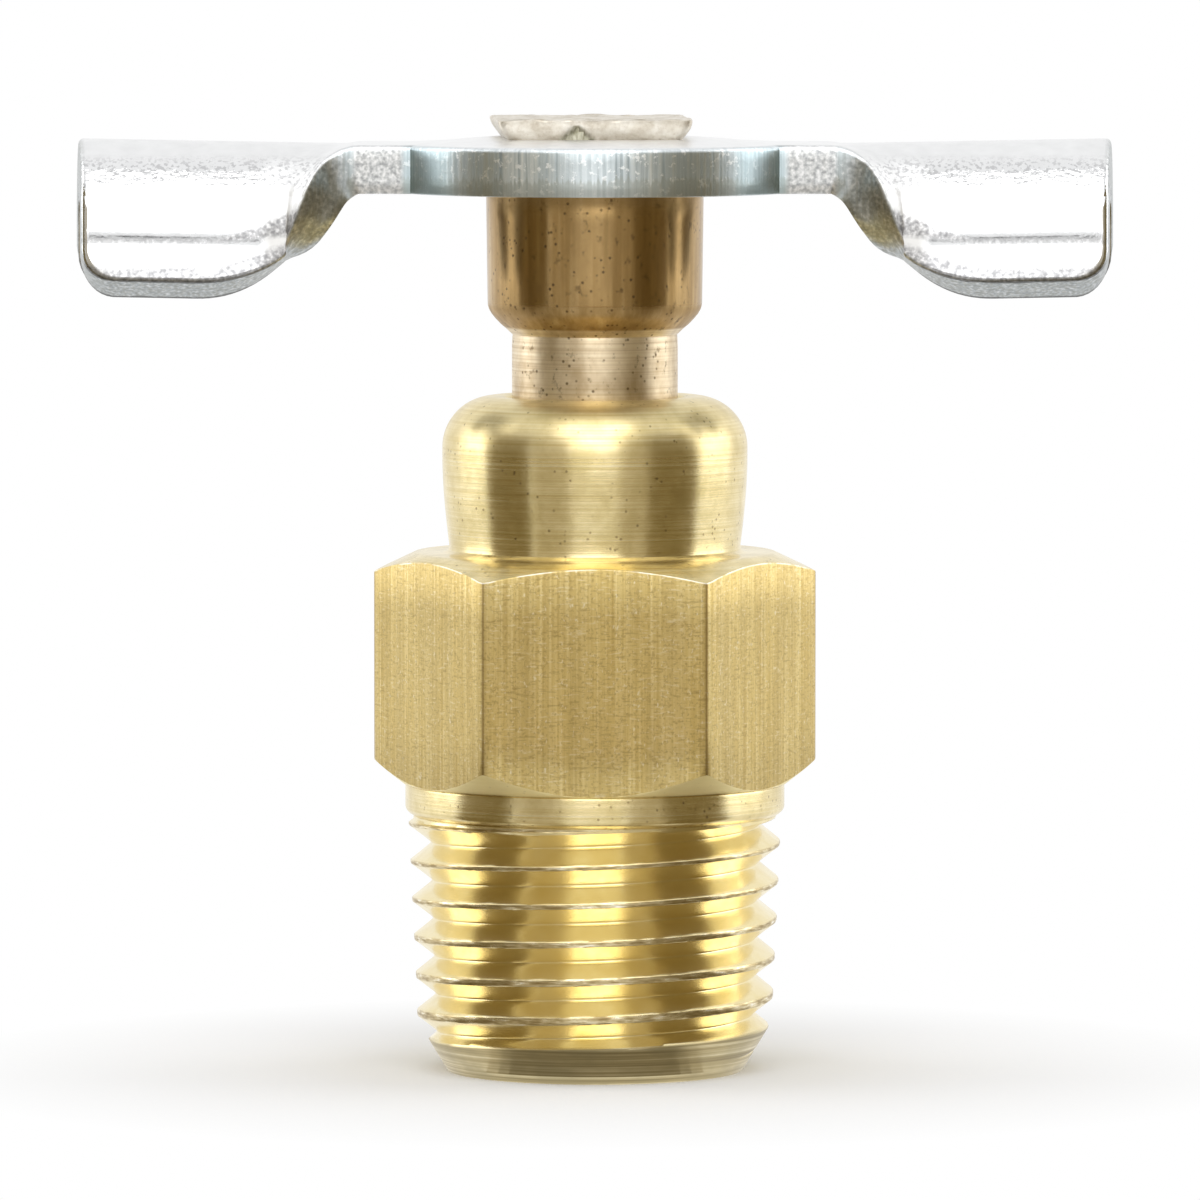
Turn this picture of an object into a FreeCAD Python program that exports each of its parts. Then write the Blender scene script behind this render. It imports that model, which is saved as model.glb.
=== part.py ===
import FreeCAD, Part
import math
import os
import Sketcher

# Drain cock with a tapered pipe thread, a hexagon, a screw-down stem and a wing handle.
# Millimetres. The origin is the centre of the thread's end face, +Z points up the stem
# to the handle and +X points along the handle's wings. The stem is drawn shut on its seat.

DRIVING_SIZES = {
    # Body, outside, from the thread's end face up
    "end_face_dia": 11.0,
    "end_chamfer_height": 1.8,
    "thread_small_dia": 13.2,
    "thread_large_dia": 13.9,
    "thread_length": 9.6,
    "thread_pitch": 1.411,
    "thread_first_root": 0.7225,
    "thread_root_dia": 11.94,
    "thread_root_flat": 0.2,
    "thread_groove_depth": 1.02,
    "thread_groove_mouth": 1.378,
    "collar_edge_height": 0.25,
    "collar_dia": 14.1,
    "collar_height": 1.1,
    "hex_across_flats": 14.29,
    "hex_corner_dia": 16.4,
    "hex_height": 8.6,
    "hex_bottom_circle_dia": 14.2,
    "hex_bottom_chamfer_slope": 0.78,
    "hex_top_circle_dia": 13.4,
    "hex_top_chamfer_slope": 0.47,
    "dome_base_dia": 10.8,
    "dome_dia": 11.33,
    "dome_swell_height": 3.6,
    "dome_height": 5.8,
    "dome_edge_radius": 1.9,
    # Body, inside
    "rim_hole_dia": 6.5,
    "rim_thickness": 1.4,
    "screw_bore_dia": 8.0,
    "seal_bore_dia": 6.4,
    "seal_bore_length": 7.5,
    "orifice_dia": 3.6,
    "orifice_length": 1.0,
    "inlet_bore_dia": 7.0,
    "inlet_bore_depth": 3.0,
    # Stem, from its tip up
    "seat_clearance": 0.03,
    "running_clearance": 0.05,
    "tip_dia": 2.4,
    "tip_shank_dia": 5.2,
    "tip_shank_length": 3.2,
    "cross_hole_rise": 1.7,
    "cross_hole_dia": 2.0,
    "drain_hole_dia": 2.6,
    "seal_land_length": 0.7,
    "seal_groove_width": 1.1,
    "seal_groove_dia": 4.5,
    "screw_end_gap": 0.3,
    "screw_length": 6.6,
    "neck_dia": 6.15,
    "neck_show": 2.37,
    "shoulder_cone_dia": 7.4,
    "shoulder_round_height": 0.45,
    "upper_bottom_dia": 7.95,
    "upper_top_dia": 8.07,
    "upper_length": 4.13,
    "tang_across_flats": 5.6,
    "tang_turn_deg": 3.0,
    "head_base_width": 6.3,
    "head_widest_width": 7.2,
    "head_widest_height": 0.7,
    "head_crown_width": 6.7,
    "head_height": 1.0,
    "drain_mouth_bevel": 0.6,
    # Handle
    "plate_thickness": 1.8,
    "tang_clearance": 0.05,
    "hub_dia": 14.8,
    "neck_width": 5.8,
    "neck_reach": 9.2,
    "neck_corner_radius": 0.4,
    "bend_reach": 10.5,
    "crown_radius": 3.75,
    "crown_angle_deg": 88.0,
    "flap_reach": 14.9,
    "flap_half_width": 6.2,
    "flare_length": 1.3,
    "flare_radius": 2.5,
    "wing_reach": 19.15,
    "wing_end_slant_deg": 4.0,
    "wing_rise": 0.18,
    "wing_corner_radius": 1.2,
    # Seal ring
    "ring_clearance": 0.03,
}

# Heights of the body's levels, worked up from the thread's end face
COLLAR_TOP = "thread_length + collar_height"
HEX_TOP = COLLAR_TOP + " + hex_height"
DOME_TOP = HEX_TOP + " + dome_height"
RIM_UNDER = DOME_TOP + " - rim_thickness"
SEAT_BOTTOM = "inlet_bore_depth + orifice_length"
SEAT_TOP = SEAT_BOTTOM + " + seal_bore_dia / 2 - orifice_dia / 2"
SEAL_BORE_TOP = SEAT_TOP + " + seal_bore_length"
SCREW_BORE_BOTTOM = SEAL_BORE_TOP + " + screw_bore_dia / 2 - seal_bore_dia / 2"

# Heights of the stem's levels: the tip sits on the seat, the upper part stands over the dome
SEAT_CONE_APEX = SEAT_BOTTOM + " - orifice_dia / 2 + seat_clearance * sqrt(2)"
TIP = SEAT_CONE_APEX + " + tip_dia / 2"
TIP_CONE_TOP = SEAT_CONE_APEX + " + tip_shank_dia / 2"
CROSS_HOLE = TIP_CONE_TOP + " + cross_hole_rise"
SEAL_LAND = TIP_CONE_TOP + " + tip_shank_length"
GROOVE_BOTTOM = SEAL_LAND + " + seal_land_length"
GROOVE_TOP = GROOVE_BOTTOM + " + seal_groove_width"
SCREW_BOTTOM = SCREW_BORE_BOTTOM + " + screw_end_gap"
SCREW_TAPER = SEAL_BORE_TOP + " + screw_end_gap"
SCREW_TOP = SCREW_BOTTOM + " + screw_length"
NECK_TOP = DOME_TOP + " + neck_show"
SHOULDER_CONE = NECK_TOP + " + shoulder_cone_dia / 2 - neck_dia / 2"
UPPER_BOTTOM = SHOULDER_CONE + " + shoulder_round_height"
PLATE_BOTTOM = UPPER_BOTTOM + " + upper_length"
PLATE_TOP = PLATE_BOTTOM + " + plate_thickness"
HEAD_WIDEST = PLATE_TOP + " + head_widest_height"
HEAD_TOP = PLATE_TOP + " + head_height"

SEAL_LAND_RADIUS = "seal_bore_dia / 2 - running_clearance"
SCREW_RADIUS = "screw_bore_dia / 2 - running_clearance"

HEX_FLAT_COUNT = 6
# Past its bend a wing widens by this power of the way that is left to its full width.
WIDENING_POWER_COUNT = 2.8
# Steps between the sections where the plate is bent down and where it widens, and points along half a section
FORMING_STEP_COUNT = 4
WIDENING_STEP_COUNT = 6
HALF_SECTION_COUNT = 6
LOFT_DEGREE_COUNT = 3


def make_sheet(doc):
    sheet = doc.addObject("Spreadsheet::Sheet", "sizes")
    for row, (alias, size) in enumerate(DRIVING_SIZES.items(), start=1):
        sheet.set(f"A{row}", alias)
        sheet.set(f"B{row}", str(size))
        sheet.setAlias(f"B{row}", alias)
    doc.recompute()
    return sheet


def bound(expression):
    """Writes an expression of size names so that it reads them from the sheet."""
    words = [f"sizes.{word}" if word in DRIVING_SIZES else word for word in expression.split()]
    return " ".join(words)


def size_of(sheet, expression):
    return float(sheet.evalExpression(expression))


def new_body(doc, name):
    body = doc.addObject("PartDesign::Body", name)
    body.Label = name
    return body


def new_sketch(body, name, role, offset=None, turn=None):
    """A sketch on one of the body's origin planes, raised and turned by expressions."""
    plane = next(item for item in body.Origin.OriginFeatures if item.Role == role)
    sketch = body.newObject("Sketcher::SketchObject", name)
    sketch.AttachmentSupport = [(plane, "")]
    sketch.MapMode = "FlatFace"
    if offset:
        sketch.setExpression("AttachmentOffset.Base.z", bound(offset))
    if turn:
        sketch.setExpression("AttachmentOffset.Rotation.Angle", bound(turn))
    return sketch


def dimension(sketch, constraint, expression):
    """Adds a driving constraint whose value follows an expression on the sheet."""
    index = sketch.addConstraint(constraint)
    sketch.setExpression(f"Constraints[{index}]", bound(expression))


def closed_lines(sketch, corners):
    """Draws a closed outline of straight lines that meet end to end."""
    count = len(corners)
    for index, corner in enumerate(corners):
        sketch.addGeometry(Part.LineSegment(corner, corners[(index + 1) % count]), False)
    for index in range(count):
        sketch.addConstraint(Sketcher.Constraint("Coincident", index, 2, (index + 1) % count, 1))


def draw_profile(sketch, sheet, points):
    """Draws a closed half profile of (radius, height) expressions, with "0" for a point on an axis."""
    corners = [FreeCAD.Vector(size_of(sheet, radius), size_of(sheet, height), 0) for radius, height in points]
    closed_lines(sketch, corners)
    for index, (radius, height) in enumerate(points):
        start = (index, 1)
        if radius == "0":
            sketch.addConstraint(Sketcher.Constraint("PointOnObject", *start, -2))
        else:
            dimension(sketch, Sketcher.Constraint("DistanceX", -1, 1, *start, corners[index].x), radius)
        if height == "0":
            sketch.addConstraint(Sketcher.Constraint("PointOnObject", *start, -1))
        else:
            dimension(sketch, Sketcher.Constraint("DistanceY", -1, 1, *start, corners[index].y), height)


def draw_rectangle(sketch, sheet, width, depth):
    """Draws a rectangle centred on the sketch's origin."""
    half_x = size_of(sheet, width) / 2
    half_y = size_of(sheet, depth) / 2
    signs = [(-1, -1), (1, -1), (1, 1), (-1, 1)]
    closed_lines(sketch, [FreeCAD.Vector(sx * half_x, sy * half_y, 0) for sx, sy in signs])
    for line in (0, 2):
        sketch.addConstraint(Sketcher.Constraint("Horizontal", line))
    for line in (1, 3):
        sketch.addConstraint(Sketcher.Constraint("Vertical", line))
    sketch.addConstraint(Sketcher.Constraint("Symmetric", 0, 1, 2, 1, -1, 1))
    dimension(sketch, Sketcher.Constraint("DistanceX", 0, 1, 0, 2, 2 * half_x), width)
    dimension(sketch, Sketcher.Constraint("DistanceY", 1, 1, 1, 2, 2 * half_y), depth)


def draw_circle(sketch, sheet, diameter, across=None, up=None):
    """Draws a circle round the sketch's origin, or at a distance across and up from it."""
    centre = FreeCAD.Vector(size_of(sheet, across) if across else 0, size_of(sheet, up) if up else 0, 0)
    sketch.addGeometry(Part.Circle(centre, FreeCAD.Vector(0, 0, 1), size_of(sheet, diameter) / 2), False)
    if across:
        dimension(sketch, Sketcher.Constraint("DistanceX", -1, 1, 0, 3, centre.x), across)
    else:
        sketch.addConstraint(Sketcher.Constraint("PointOnObject", 0, 3, -2))
    if up:
        dimension(sketch, Sketcher.Constraint("DistanceY", -1, 1, 0, 3, centre.y), up)
    else:
        sketch.addConstraint(Sketcher.Constraint("PointOnObject", 0, 3, -1))
    dimension(sketch, Sketcher.Constraint("Diameter", 0, size_of(sheet, diameter)), diameter)


def revolve(body, name, sketch):
    turned = body.newObject("PartDesign::Revolution", name)
    turned.Profile = sketch
    turned.ReferenceAxis = (sketch, ["V_Axis"])
    turned.Angle = 360.0
    return turned


def extrude(body, kind, name, sketch, length, both_ways=False):
    """A Pad or Pocket of a sketch, one way or half each way."""
    feature = body.newObject(f"PartDesign::{kind}", name)
    feature.Profile = sketch
    feature.setExpression("Length", bound(length))
    if both_ways:
        feature.SideType = "Symmetric"
    return feature


def round_edges(body, kind, name, base, wanted, size):
    """Rounds or bevels the edges of a feature for which wanted(edge) is true."""
    edges = [f"Edge{number}" for number, edge in enumerate(base.Shape.Edges, start=1) if wanted(edge)]
    feature = body.newObject(f"PartDesign::{kind}", name)
    feature.Base = (base, edges)
    feature.setExpression("Radius" if kind == "Fillet" else "Size", bound(size))
    return feature


def is_circle_at(sheet, diameter, height):
    """Says whether an edge is the circle of a given diameter round the axis at a given height."""
    radius = size_of(sheet, diameter) / 2
    level = size_of(sheet, height)

    def wanted(edge):
        if not isinstance(edge.Curve, Part.Circle):
            return False
        same_size = math.isclose(edge.Curve.Radius, radius, abs_tol=1e-4)
        return same_size and math.isclose(edge.Curve.Center.z, level, abs_tol=1e-4)

    return wanted


def is_upright(edge):
    return isinstance(edge.Curve, Part.Line) and abs(edge.Curve.Direction.z) > 0.999


def cut_thread(body, sheet):
    """Right-handed thread in the taper, cut from below the end face up past the top of its blank."""
    start = "thread_first_root - thread_pitch"
    root = "thread_root_dia / 2"
    mouth = f"{root} + thread_groove_depth"
    groove = new_sketch(body, "thread_groove", "XZ_Plane")
    draw_profile(groove, sheet, [
        (root, f"{start} - thread_root_flat / 2"),
        (mouth, f"{start} - thread_groove_mouth / 2"),
        (mouth, f"{start} + thread_groove_mouth / 2"),
        (root, f"{start} + thread_root_flat / 2"),
    ])
    thread = body.newObject("PartDesign::SubtractiveHelix", "pipe_thread")
    thread.Profile = groove
    thread.ReferenceAxis = (groove, ["V_Axis"])
    thread.Mode = "pitch-height-angle"
    thread.setExpression("Pitch", bound("thread_pitch"))
    thread.setExpression("Height", bound("thread_length + 2 * thread_pitch"))
    return thread


def build_valve_body(doc, sheet):
    """Turned body: taper pipe thread, collar, hexagon and dome, bored through for the stem."""
    body = new_body(doc, "valve_body")
    bottom_chamfer = "( hex_corner_dia - hex_bottom_circle_dia ) / 2 * hex_bottom_chamfer_slope"
    top_chamfer = "( hex_corner_dia - hex_top_circle_dia ) / 2 * hex_top_chamfer_slope"
    taper = new_sketch(body, "thread_profile", "XZ_Plane")
    draw_profile(taper, sheet, [
        ("inlet_bore_dia / 2", "0"),
        ("end_face_dia / 2", "0"),
        ("thread_small_dia / 2", "end_chamfer_height"),
        ("thread_large_dia / 2", "thread_length"),
        ("seal_bore_dia / 2", "thread_length"),
        ("seal_bore_dia / 2", SEAT_TOP),
        ("orifice_dia / 2", SEAT_BOTTOM),
        ("orifice_dia / 2", "inlet_bore_depth"),
        ("inlet_bore_dia / 2", "inlet_bore_depth"),
    ])
    revolve(body, "thread_blank", taper)
    doc.recompute()
    cut_thread(body, sheet)
    doc.recompute()

    profile = new_sketch(body, "body_profile", "XZ_Plane")
    draw_profile(profile, sheet, [
        ("seal_bore_dia / 2", "thread_length"),
        ("thread_large_dia / 2", "thread_length"),
        ("collar_dia / 2", "thread_length + collar_edge_height"),
        ("collar_dia / 2", COLLAR_TOP),
        ("hex_bottom_circle_dia / 2", COLLAR_TOP),
        ("hex_corner_dia / 2", f"{COLLAR_TOP} + {bottom_chamfer}"),
        ("hex_corner_dia / 2", f"{HEX_TOP} - {top_chamfer}"),
        ("hex_top_circle_dia / 2", HEX_TOP),
        ("dome_base_dia / 2", HEX_TOP),
        ("dome_dia / 2", f"{HEX_TOP} + dome_swell_height"),
        ("dome_dia / 2", DOME_TOP),
        ("rim_hole_dia / 2", DOME_TOP),
        ("rim_hole_dia / 2", RIM_UNDER),
        ("screw_bore_dia / 2", RIM_UNDER),
        ("screw_bore_dia / 2", SCREW_BORE_BOTTOM),
        ("seal_bore_dia / 2", SEAL_BORE_TOP),
    ])
    revolve(body, "turned_blank", profile)
    doc.recompute()

    flat = new_sketch(body, "flat_cut", "XY_Plane", offset=HEX_TOP)
    draw_flat_cut(flat, sheet, "hex_corner_dia")
    milled = extrude(body, "Pocket", "milled_flat", flat, "hex_height")
    doc.recompute()
    hexagon = body.newObject("PartDesign::PolarPattern", "hexagon")
    hexagon.Originals = [milled]
    hexagon.Axis = (flat, ["N_Axis"])
    hexagon.Angle = 360.0
    hexagon.Occurrences = HEX_FLAT_COUNT
    body.Tip = hexagon
    doc.recompute()

    dome_edge = is_circle_at(sheet, "dome_dia", DOME_TOP)
    round_edges(body, "Fillet", "rolled_rim", hexagon, dome_edge, "dome_edge_radius")
    doc.recompute()
    return body


def draw_flat_cut(sketch, sheet, size):
    """Draws the rectangle outside one flat of the hexagon, on the +Y side."""
    side = size_of(sheet, size)
    flat = size_of(sheet, "hex_across_flats / 2")
    half = side / 2
    closed_lines(sketch, [
        FreeCAD.Vector(-half, flat, 0),
        FreeCAD.Vector(half, flat, 0),
        FreeCAD.Vector(half, flat + half, 0),
        FreeCAD.Vector(-half, flat + half, 0),
    ])
    sketch.addConstraint(Sketcher.Constraint("Horizontal", 2))
    for line in (1, 3):
        sketch.addConstraint(Sketcher.Constraint("Vertical", line))
    sketch.addConstraint(Sketcher.Constraint("Symmetric", 0, 1, 0, 2, -2))
    dimension(sketch, Sketcher.Constraint("DistanceX", 0, 1, 0, 2, side), size)
    dimension(sketch, Sketcher.Constraint("DistanceY", 1, 1, 1, 2, half), f"{size} / 2")
    dimension(sketch, Sketcher.Constraint("DistanceY", -1, 1, 0, 1, flat), "hex_across_flats / 2")


def build_valve_stem(doc, sheet):
    """Turned stem from its conical tip to the shoulder, square tang, hammered head and drain holes."""
    body = new_body(doc, "valve_stem")
    profile = new_sketch(body, "stem_profile", "XZ_Plane")
    draw_profile(profile, sheet, [
        ("0", TIP),
        ("tip_dia / 2", TIP),
        ("tip_shank_dia / 2", TIP_CONE_TOP),
        ("tip_shank_dia / 2", SEAL_LAND),
        (SEAL_LAND_RADIUS, SEAL_LAND),
        (SEAL_LAND_RADIUS, GROOVE_BOTTOM),
        ("seal_groove_dia / 2", GROOVE_BOTTOM),
        ("seal_groove_dia / 2", GROOVE_TOP),
        (SEAL_LAND_RADIUS, GROOVE_TOP),
        (SEAL_LAND_RADIUS, SCREW_TAPER),
        (SCREW_RADIUS, SCREW_BOTTOM),
        (SCREW_RADIUS, SCREW_TOP),
        ("neck_dia / 2", SCREW_TOP),
        ("neck_dia / 2", NECK_TOP),
        ("shoulder_cone_dia / 2", SHOULDER_CONE),
        ("upper_bottom_dia / 2", UPPER_BOTTOM),
        ("upper_top_dia / 2", PLATE_BOTTOM),
        ("0", PLATE_BOTTOM),
    ])
    revolve(body, "turned_stem", profile)

    tang = new_sketch(body, "tang_outline", "XY_Plane", offset=PLATE_BOTTOM, turn="tang_turn_deg")
    draw_rectangle(tang, sheet, "tang_across_flats", "tang_across_flats")
    extrude(body, "Pad", "square_tang", tang, "plate_thickness")

    head_sections = []
    for name, width, height in (
        ("head_base", "head_base_width", PLATE_TOP),
        ("head_widest", "head_widest_width", HEAD_WIDEST),
        ("head_crown", "head_crown_width", HEAD_TOP),
    ):
        section = new_sketch(body, name, "XY_Plane", offset=height, turn="tang_turn_deg")
        draw_rectangle(section, sheet, width, width)
        head_sections.append(section)
    head = body.newObject("PartDesign::AdditiveLoft", "hammered_head")
    head.Profile = head_sections[0]
    head.Sections = head_sections[1:]
    head.Ruled = True

    mouth = new_sketch(body, "drain_mouth", "XY_Plane", offset=HEAD_TOP)
    draw_circle(mouth, sheet, "drain_hole_dia")
    drain = extrude(body, "Pocket", "drain_hole", mouth, f"{HEAD_TOP} - ( {CROSS_HOLE} )")
    doc.recompute()

    side = new_sketch(body, "cross_hole_outline", "XZ_Plane")
    draw_circle(side, sheet, "cross_hole_dia", up=CROSS_HOLE)
    cross = extrude(body, "Pocket", "cross_hole", side, "seal_bore_dia", both_ways=True)
    doc.recompute()
    mouth_edge = is_circle_at(sheet, "drain_hole_dia", HEAD_TOP)
    round_edges(body, "Chamfer", "drain_bevel", cross, mouth_edge, "drain_mouth_bevel")
    doc.recompute()
    return body


def build_stem_o_ring(doc, sheet):
    """Rubber ring that fills the stem's groove out to the seal bore."""
    body = new_body(doc, "stem_o_ring")
    middle = "( seal_bore_dia + seal_groove_dia ) / 4"
    section_dia = "( seal_bore_dia - seal_groove_dia ) / 2 - 2 * ring_clearance"
    section = new_sketch(body, "ring_section", "XZ_Plane")
    draw_circle(section, sheet, section_dia, across=middle, up=f"{GROOVE_BOTTOM} + seal_groove_width / 2")
    revolve(body, "moulded_ring", section)
    doc.recompute()
    return body


def build_hub(doc, sheet):
    """Flat middle of the handle: a disc with a square hole and the two necks."""
    body = new_body(doc, "handle_hub")
    disc = new_sketch(body, "hub_disc", "XY_Plane", offset=PLATE_BOTTOM)
    draw_circle(disc, sheet, "hub_dia")
    extrude(body, "Pad", "hub", disc, "plate_thickness")
    bar = new_sketch(body, "neck_bar", "XY_Plane", offset=PLATE_BOTTOM)
    draw_rectangle(bar, sheet, "neck_reach * 2", "neck_width")
    necks = extrude(body, "Pad", "necks", bar, "plate_thickness")
    doc.recompute()

    neck_half = size_of(sheet, "neck_width / 2")
    hub_radius = size_of(sheet, "hub_dia / 2")

    def is_neck_corner(edge):
        start = edge.Vertexes[0].Point
        on_hub = math.isclose(math.hypot(start.x, start.y), hub_radius, abs_tol=1e-4)
        return is_upright(edge) and on_hub and math.isclose(abs(start.y), neck_half, abs_tol=1e-4)

    round_edges(body, "Fillet", "neck_corners", necks, is_neck_corner, "neck_corner_radius")
    hole = new_sketch(body, "tang_hole", "XY_Plane", offset=PLATE_TOP, turn="tang_turn_deg")
    hole_width = "tang_across_flats + 2 * tang_clearance"
    draw_rectangle(hole, sheet, hole_width, hole_width)
    extrude(body, "Pocket", "square_hole", hole, "plate_thickness")
    doc.recompute()
    return body


def bent_strip(sheet, half_width, bend):
    """Returns a function from the distance along half a strip to its (y, drop, slope) once bent.

    The strip curves down over the crown, runs straight, then curls out again towards its lip.
    A bend of 0 leaves it flat and a bend of 1 forms it fully.
    """
    half_plate = size_of(sheet, "plate_thickness / 2")
    crown = size_of(sheet, "crown_radius") - half_plate
    flare = size_of(sheet, "flare_radius") + half_plate
    crown_end = crown * math.radians(size_of(sheet, "crown_angle_deg"))
    flare_start = size_of(sheet, "flap_half_width - flare_length")
    stretches = ((0.0, crown_end, bend / crown), (crown_end, flare_start, 0.0), (flare_start, half_width, -bend / flare))

    def place(distance):
        y = drop = slope = 0.0
        for start, end, curvature in stretches:
            run = min(distance, end) - start
            if run <= 0.0:
                break
            turned = slope + curvature * run
            if abs(curvature) < 1e-9:
                y += run * math.cos(slope)
                drop += run * math.sin(slope)
            else:
                y += (math.sin(turned) - math.sin(slope)) / curvature
                drop += (math.cos(slope) - math.cos(turned)) / curvature
            slope = turned
        return y, drop, slope

    return place


def wing_section(sheet, reach):
    """Closed outline of the plate across one wing, at a distance from the stem's axis."""
    thickness = size_of(sheet, "plate_thickness")
    neck_reach = size_of(sheet, "neck_reach")
    bend_reach = size_of(sheet, "bend_reach")
    neck_half = size_of(sheet, "neck_width / 2")
    widening = max((reach - bend_reach) / size_of(sheet, "flap_reach - bend_reach"), 0.0)
    full_widening = size_of(sheet, "flap_half_width - neck_width / 2")
    half_width = neck_half + full_widening * (1.0 - (1.0 - widening) ** WIDENING_POWER_COUNT)
    forming = min((reach - neck_reach) / (bend_reach - neck_reach), 1.0)
    bend = forming * forming * (3.0 - 2.0 * forming)
    middle = size_of(sheet, f"{PLATE_TOP} - plate_thickness / 2") + (reach - neck_reach) * wing_slope(sheet)
    place = bent_strip(sheet, half_width, bend)

    def edge_points(offset):
        points = []
        for step in range(-HALF_SECTION_COUNT, HALF_SECTION_COUNT + 1):
            y, drop, slope = place(half_width * abs(step) / HALF_SECTION_COUNT)
            across = math.copysign(y + offset * math.sin(slope), step)
            points.append(FreeCAD.Vector(reach, across, middle - drop + offset * math.cos(slope)))
        return points

    outer = edge_points(thickness / 2)
    inner = edge_points(-thickness / 2)
    parameters = [float(number) for number in range(len(outer))]
    curves = []
    for points in (outer, inner):
        curve = Part.BSplineCurve()
        curve.interpolate(Points=points, Parameters=parameters)
        curves.append(curve.toShape())
    lips = [Part.makeLine(outer[end], inner[end]) for end in (-1, 0)]
    return Part.Wire([curves[0], lips[0], curves[1], lips[1]])


def wing_slope(sheet):
    """Rise of the wing's ridge for each millimetre out from the neck."""
    return size_of(sheet, "wing_rise / ( wing_reach - neck_reach )")


def loft_sections(sheet, start, end, steps):
    """Plate of a wing between two distances from the stem's axis."""
    reaches = [start + (end - start) * step / steps for step in range(steps + 1)]
    sections = [wing_section(sheet, reach) for reach in reaches]
    return Part.makeLoft(sections, True, False, False, LOFT_DEGREE_COUNT)


def build_wing(doc, sheet):
    """One formed wing: bent down past the neck, widened to the full flaps, run out straight and cut off aslant."""
    neck_reach = size_of(sheet, "neck_reach")
    bend_reach = size_of(sheet, "bend_reach")
    flap_reach = size_of(sheet, "flap_reach")
    wing_reach = size_of(sheet, "wing_reach")
    overrun = size_of(sheet, "plate_thickness")
    bent = loft_sections(sheet, neck_reach, bend_reach, FORMING_STEP_COUNT)
    widened = loft_sections(sheet, bend_reach, flap_reach, WIDENING_STEP_COUNT)
    run = wing_reach + overrun - flap_reach
    full_section = Part.Face(wing_section(sheet, flap_reach))
    straight = full_section.extrude(FreeCAD.Vector(run, 0, run * wing_slope(sheet)))

    tool_size = size_of(sheet, "hub_dia * 2")
    end_tool = Part.makeBox(tool_size, 2 * tool_size, 2 * tool_size)
    end_tool.translate(FreeCAD.Vector(0, -tool_size, -tool_size))
    end_tool.rotate(FreeCAD.Vector(), FreeCAD.Vector(0, 0, 1), -size_of(sheet, "wing_end_slant_deg"))
    end_tool.translate(FreeCAD.Vector(wing_reach, 0, size_of(sheet, PLATE_BOTTOM)))
    trimmed = straight.cut(end_tool)
    lip_level = size_of(sheet, f"{PLATE_TOP} - crown_radius")
    corners = [edge for edge in trimmed.Edges if is_lip_corner(edge, flap_reach, lip_level)]
    rounded = trimmed.makeFillet(size_of(sheet, "wing_corner_radius"), corners)

    wing = doc.addObject("Part::Feature", "right_wing")
    wing.Shape = bent.fuse([widened, rounded])
    doc.recompute()
    return wing


def is_lip_corner(edge, flap_reach, lip_level):
    """Says whether an edge is the outer end of a flap's lip."""
    points = [vertex.Point for vertex in edge.Vertexes]
    beyond = all(point.x > flap_reach + 1e-4 and point.z < lip_level for point in points)
    return beyond and isinstance(edge.Curve, Part.Line) and abs(points[0].y) > 1e-4


def build_wing_handle(doc, sheet):
    """Stamped handle: the flat hub with a formed wing each side, in one piece of plate."""
    hub = build_hub(doc, sheet)
    right = build_wing(doc, sheet)
    left = doc.addObject("Part::Mirroring", "left_wing")
    left.Source = right
    left.Normal = FreeCAD.Vector(1, 0, 0)
    handle = doc.addObject("Part::MultiFuse", "stamped_handle")
    handle.Shapes = [hub, right, left]
    handle.Refine = True
    handle.Label = "wing_handle"
    doc.recompute()
    return handle


def check(doc, nodes):
    """Stops if any object failed or any piece is not one sound solid."""
    for item in doc.Objects:
        if "Invalid" in item.State or "Error" in item.State:
            raise RuntimeError(f"{item.Label} failed: {item.State}")
    for node in nodes:
        if node.Shape.isNull() or not node.Shape.isValid() or len(node.Shape.Solids) != 1:
            raise RuntimeError(f"{node.Label} is not one valid solid")


def main():
    doc = FreeCAD.newDocument("drain_cock")
    sheet = make_sheet(doc)
    nodes = [
        build_valve_body(doc, sheet),
        build_valve_stem(doc, sheet),
        build_stem_o_ring(doc, sheet),
        build_wing_handle(doc, sheet),
    ]
    doc.recompute()
    check(doc, nodes)
    os.makedirs("parts", exist_ok=True)
    for node in nodes:
        node.Shape.exportStep(f"parts/{node.Label}.step")
        box = node.Shape.BoundBox
        print(node.Label, round(node.Shape.Volume, 2), [round(v, 3) for v in (
            box.XMin, box.XMax, box.YMin, box.YMax, box.ZMin, box.ZMax)])


main()
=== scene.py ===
import bmesh
import bpy
import math
from types import SimpleNamespace
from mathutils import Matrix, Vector, noise


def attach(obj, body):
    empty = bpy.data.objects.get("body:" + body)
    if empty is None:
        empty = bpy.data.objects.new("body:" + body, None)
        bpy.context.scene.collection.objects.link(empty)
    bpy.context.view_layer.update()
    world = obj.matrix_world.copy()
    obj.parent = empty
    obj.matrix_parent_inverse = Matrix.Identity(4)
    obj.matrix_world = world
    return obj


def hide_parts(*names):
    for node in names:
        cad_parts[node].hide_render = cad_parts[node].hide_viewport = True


# Drain cock: brass body with a cut pipe thread, bronze stem with a hammered head, zinc-plated wing handle.
# Sizes are in millimetres in the part's own frame and become metres when a mesh is written.
# Materials and the studio are in metres.

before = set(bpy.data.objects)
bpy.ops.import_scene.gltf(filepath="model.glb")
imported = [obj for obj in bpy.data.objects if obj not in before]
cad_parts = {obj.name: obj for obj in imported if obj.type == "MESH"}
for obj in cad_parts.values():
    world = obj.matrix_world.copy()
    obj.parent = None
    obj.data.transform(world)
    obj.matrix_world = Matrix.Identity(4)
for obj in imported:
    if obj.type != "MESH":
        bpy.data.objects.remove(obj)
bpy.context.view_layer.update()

MM = 0.001
COLUMNS = 240

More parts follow.
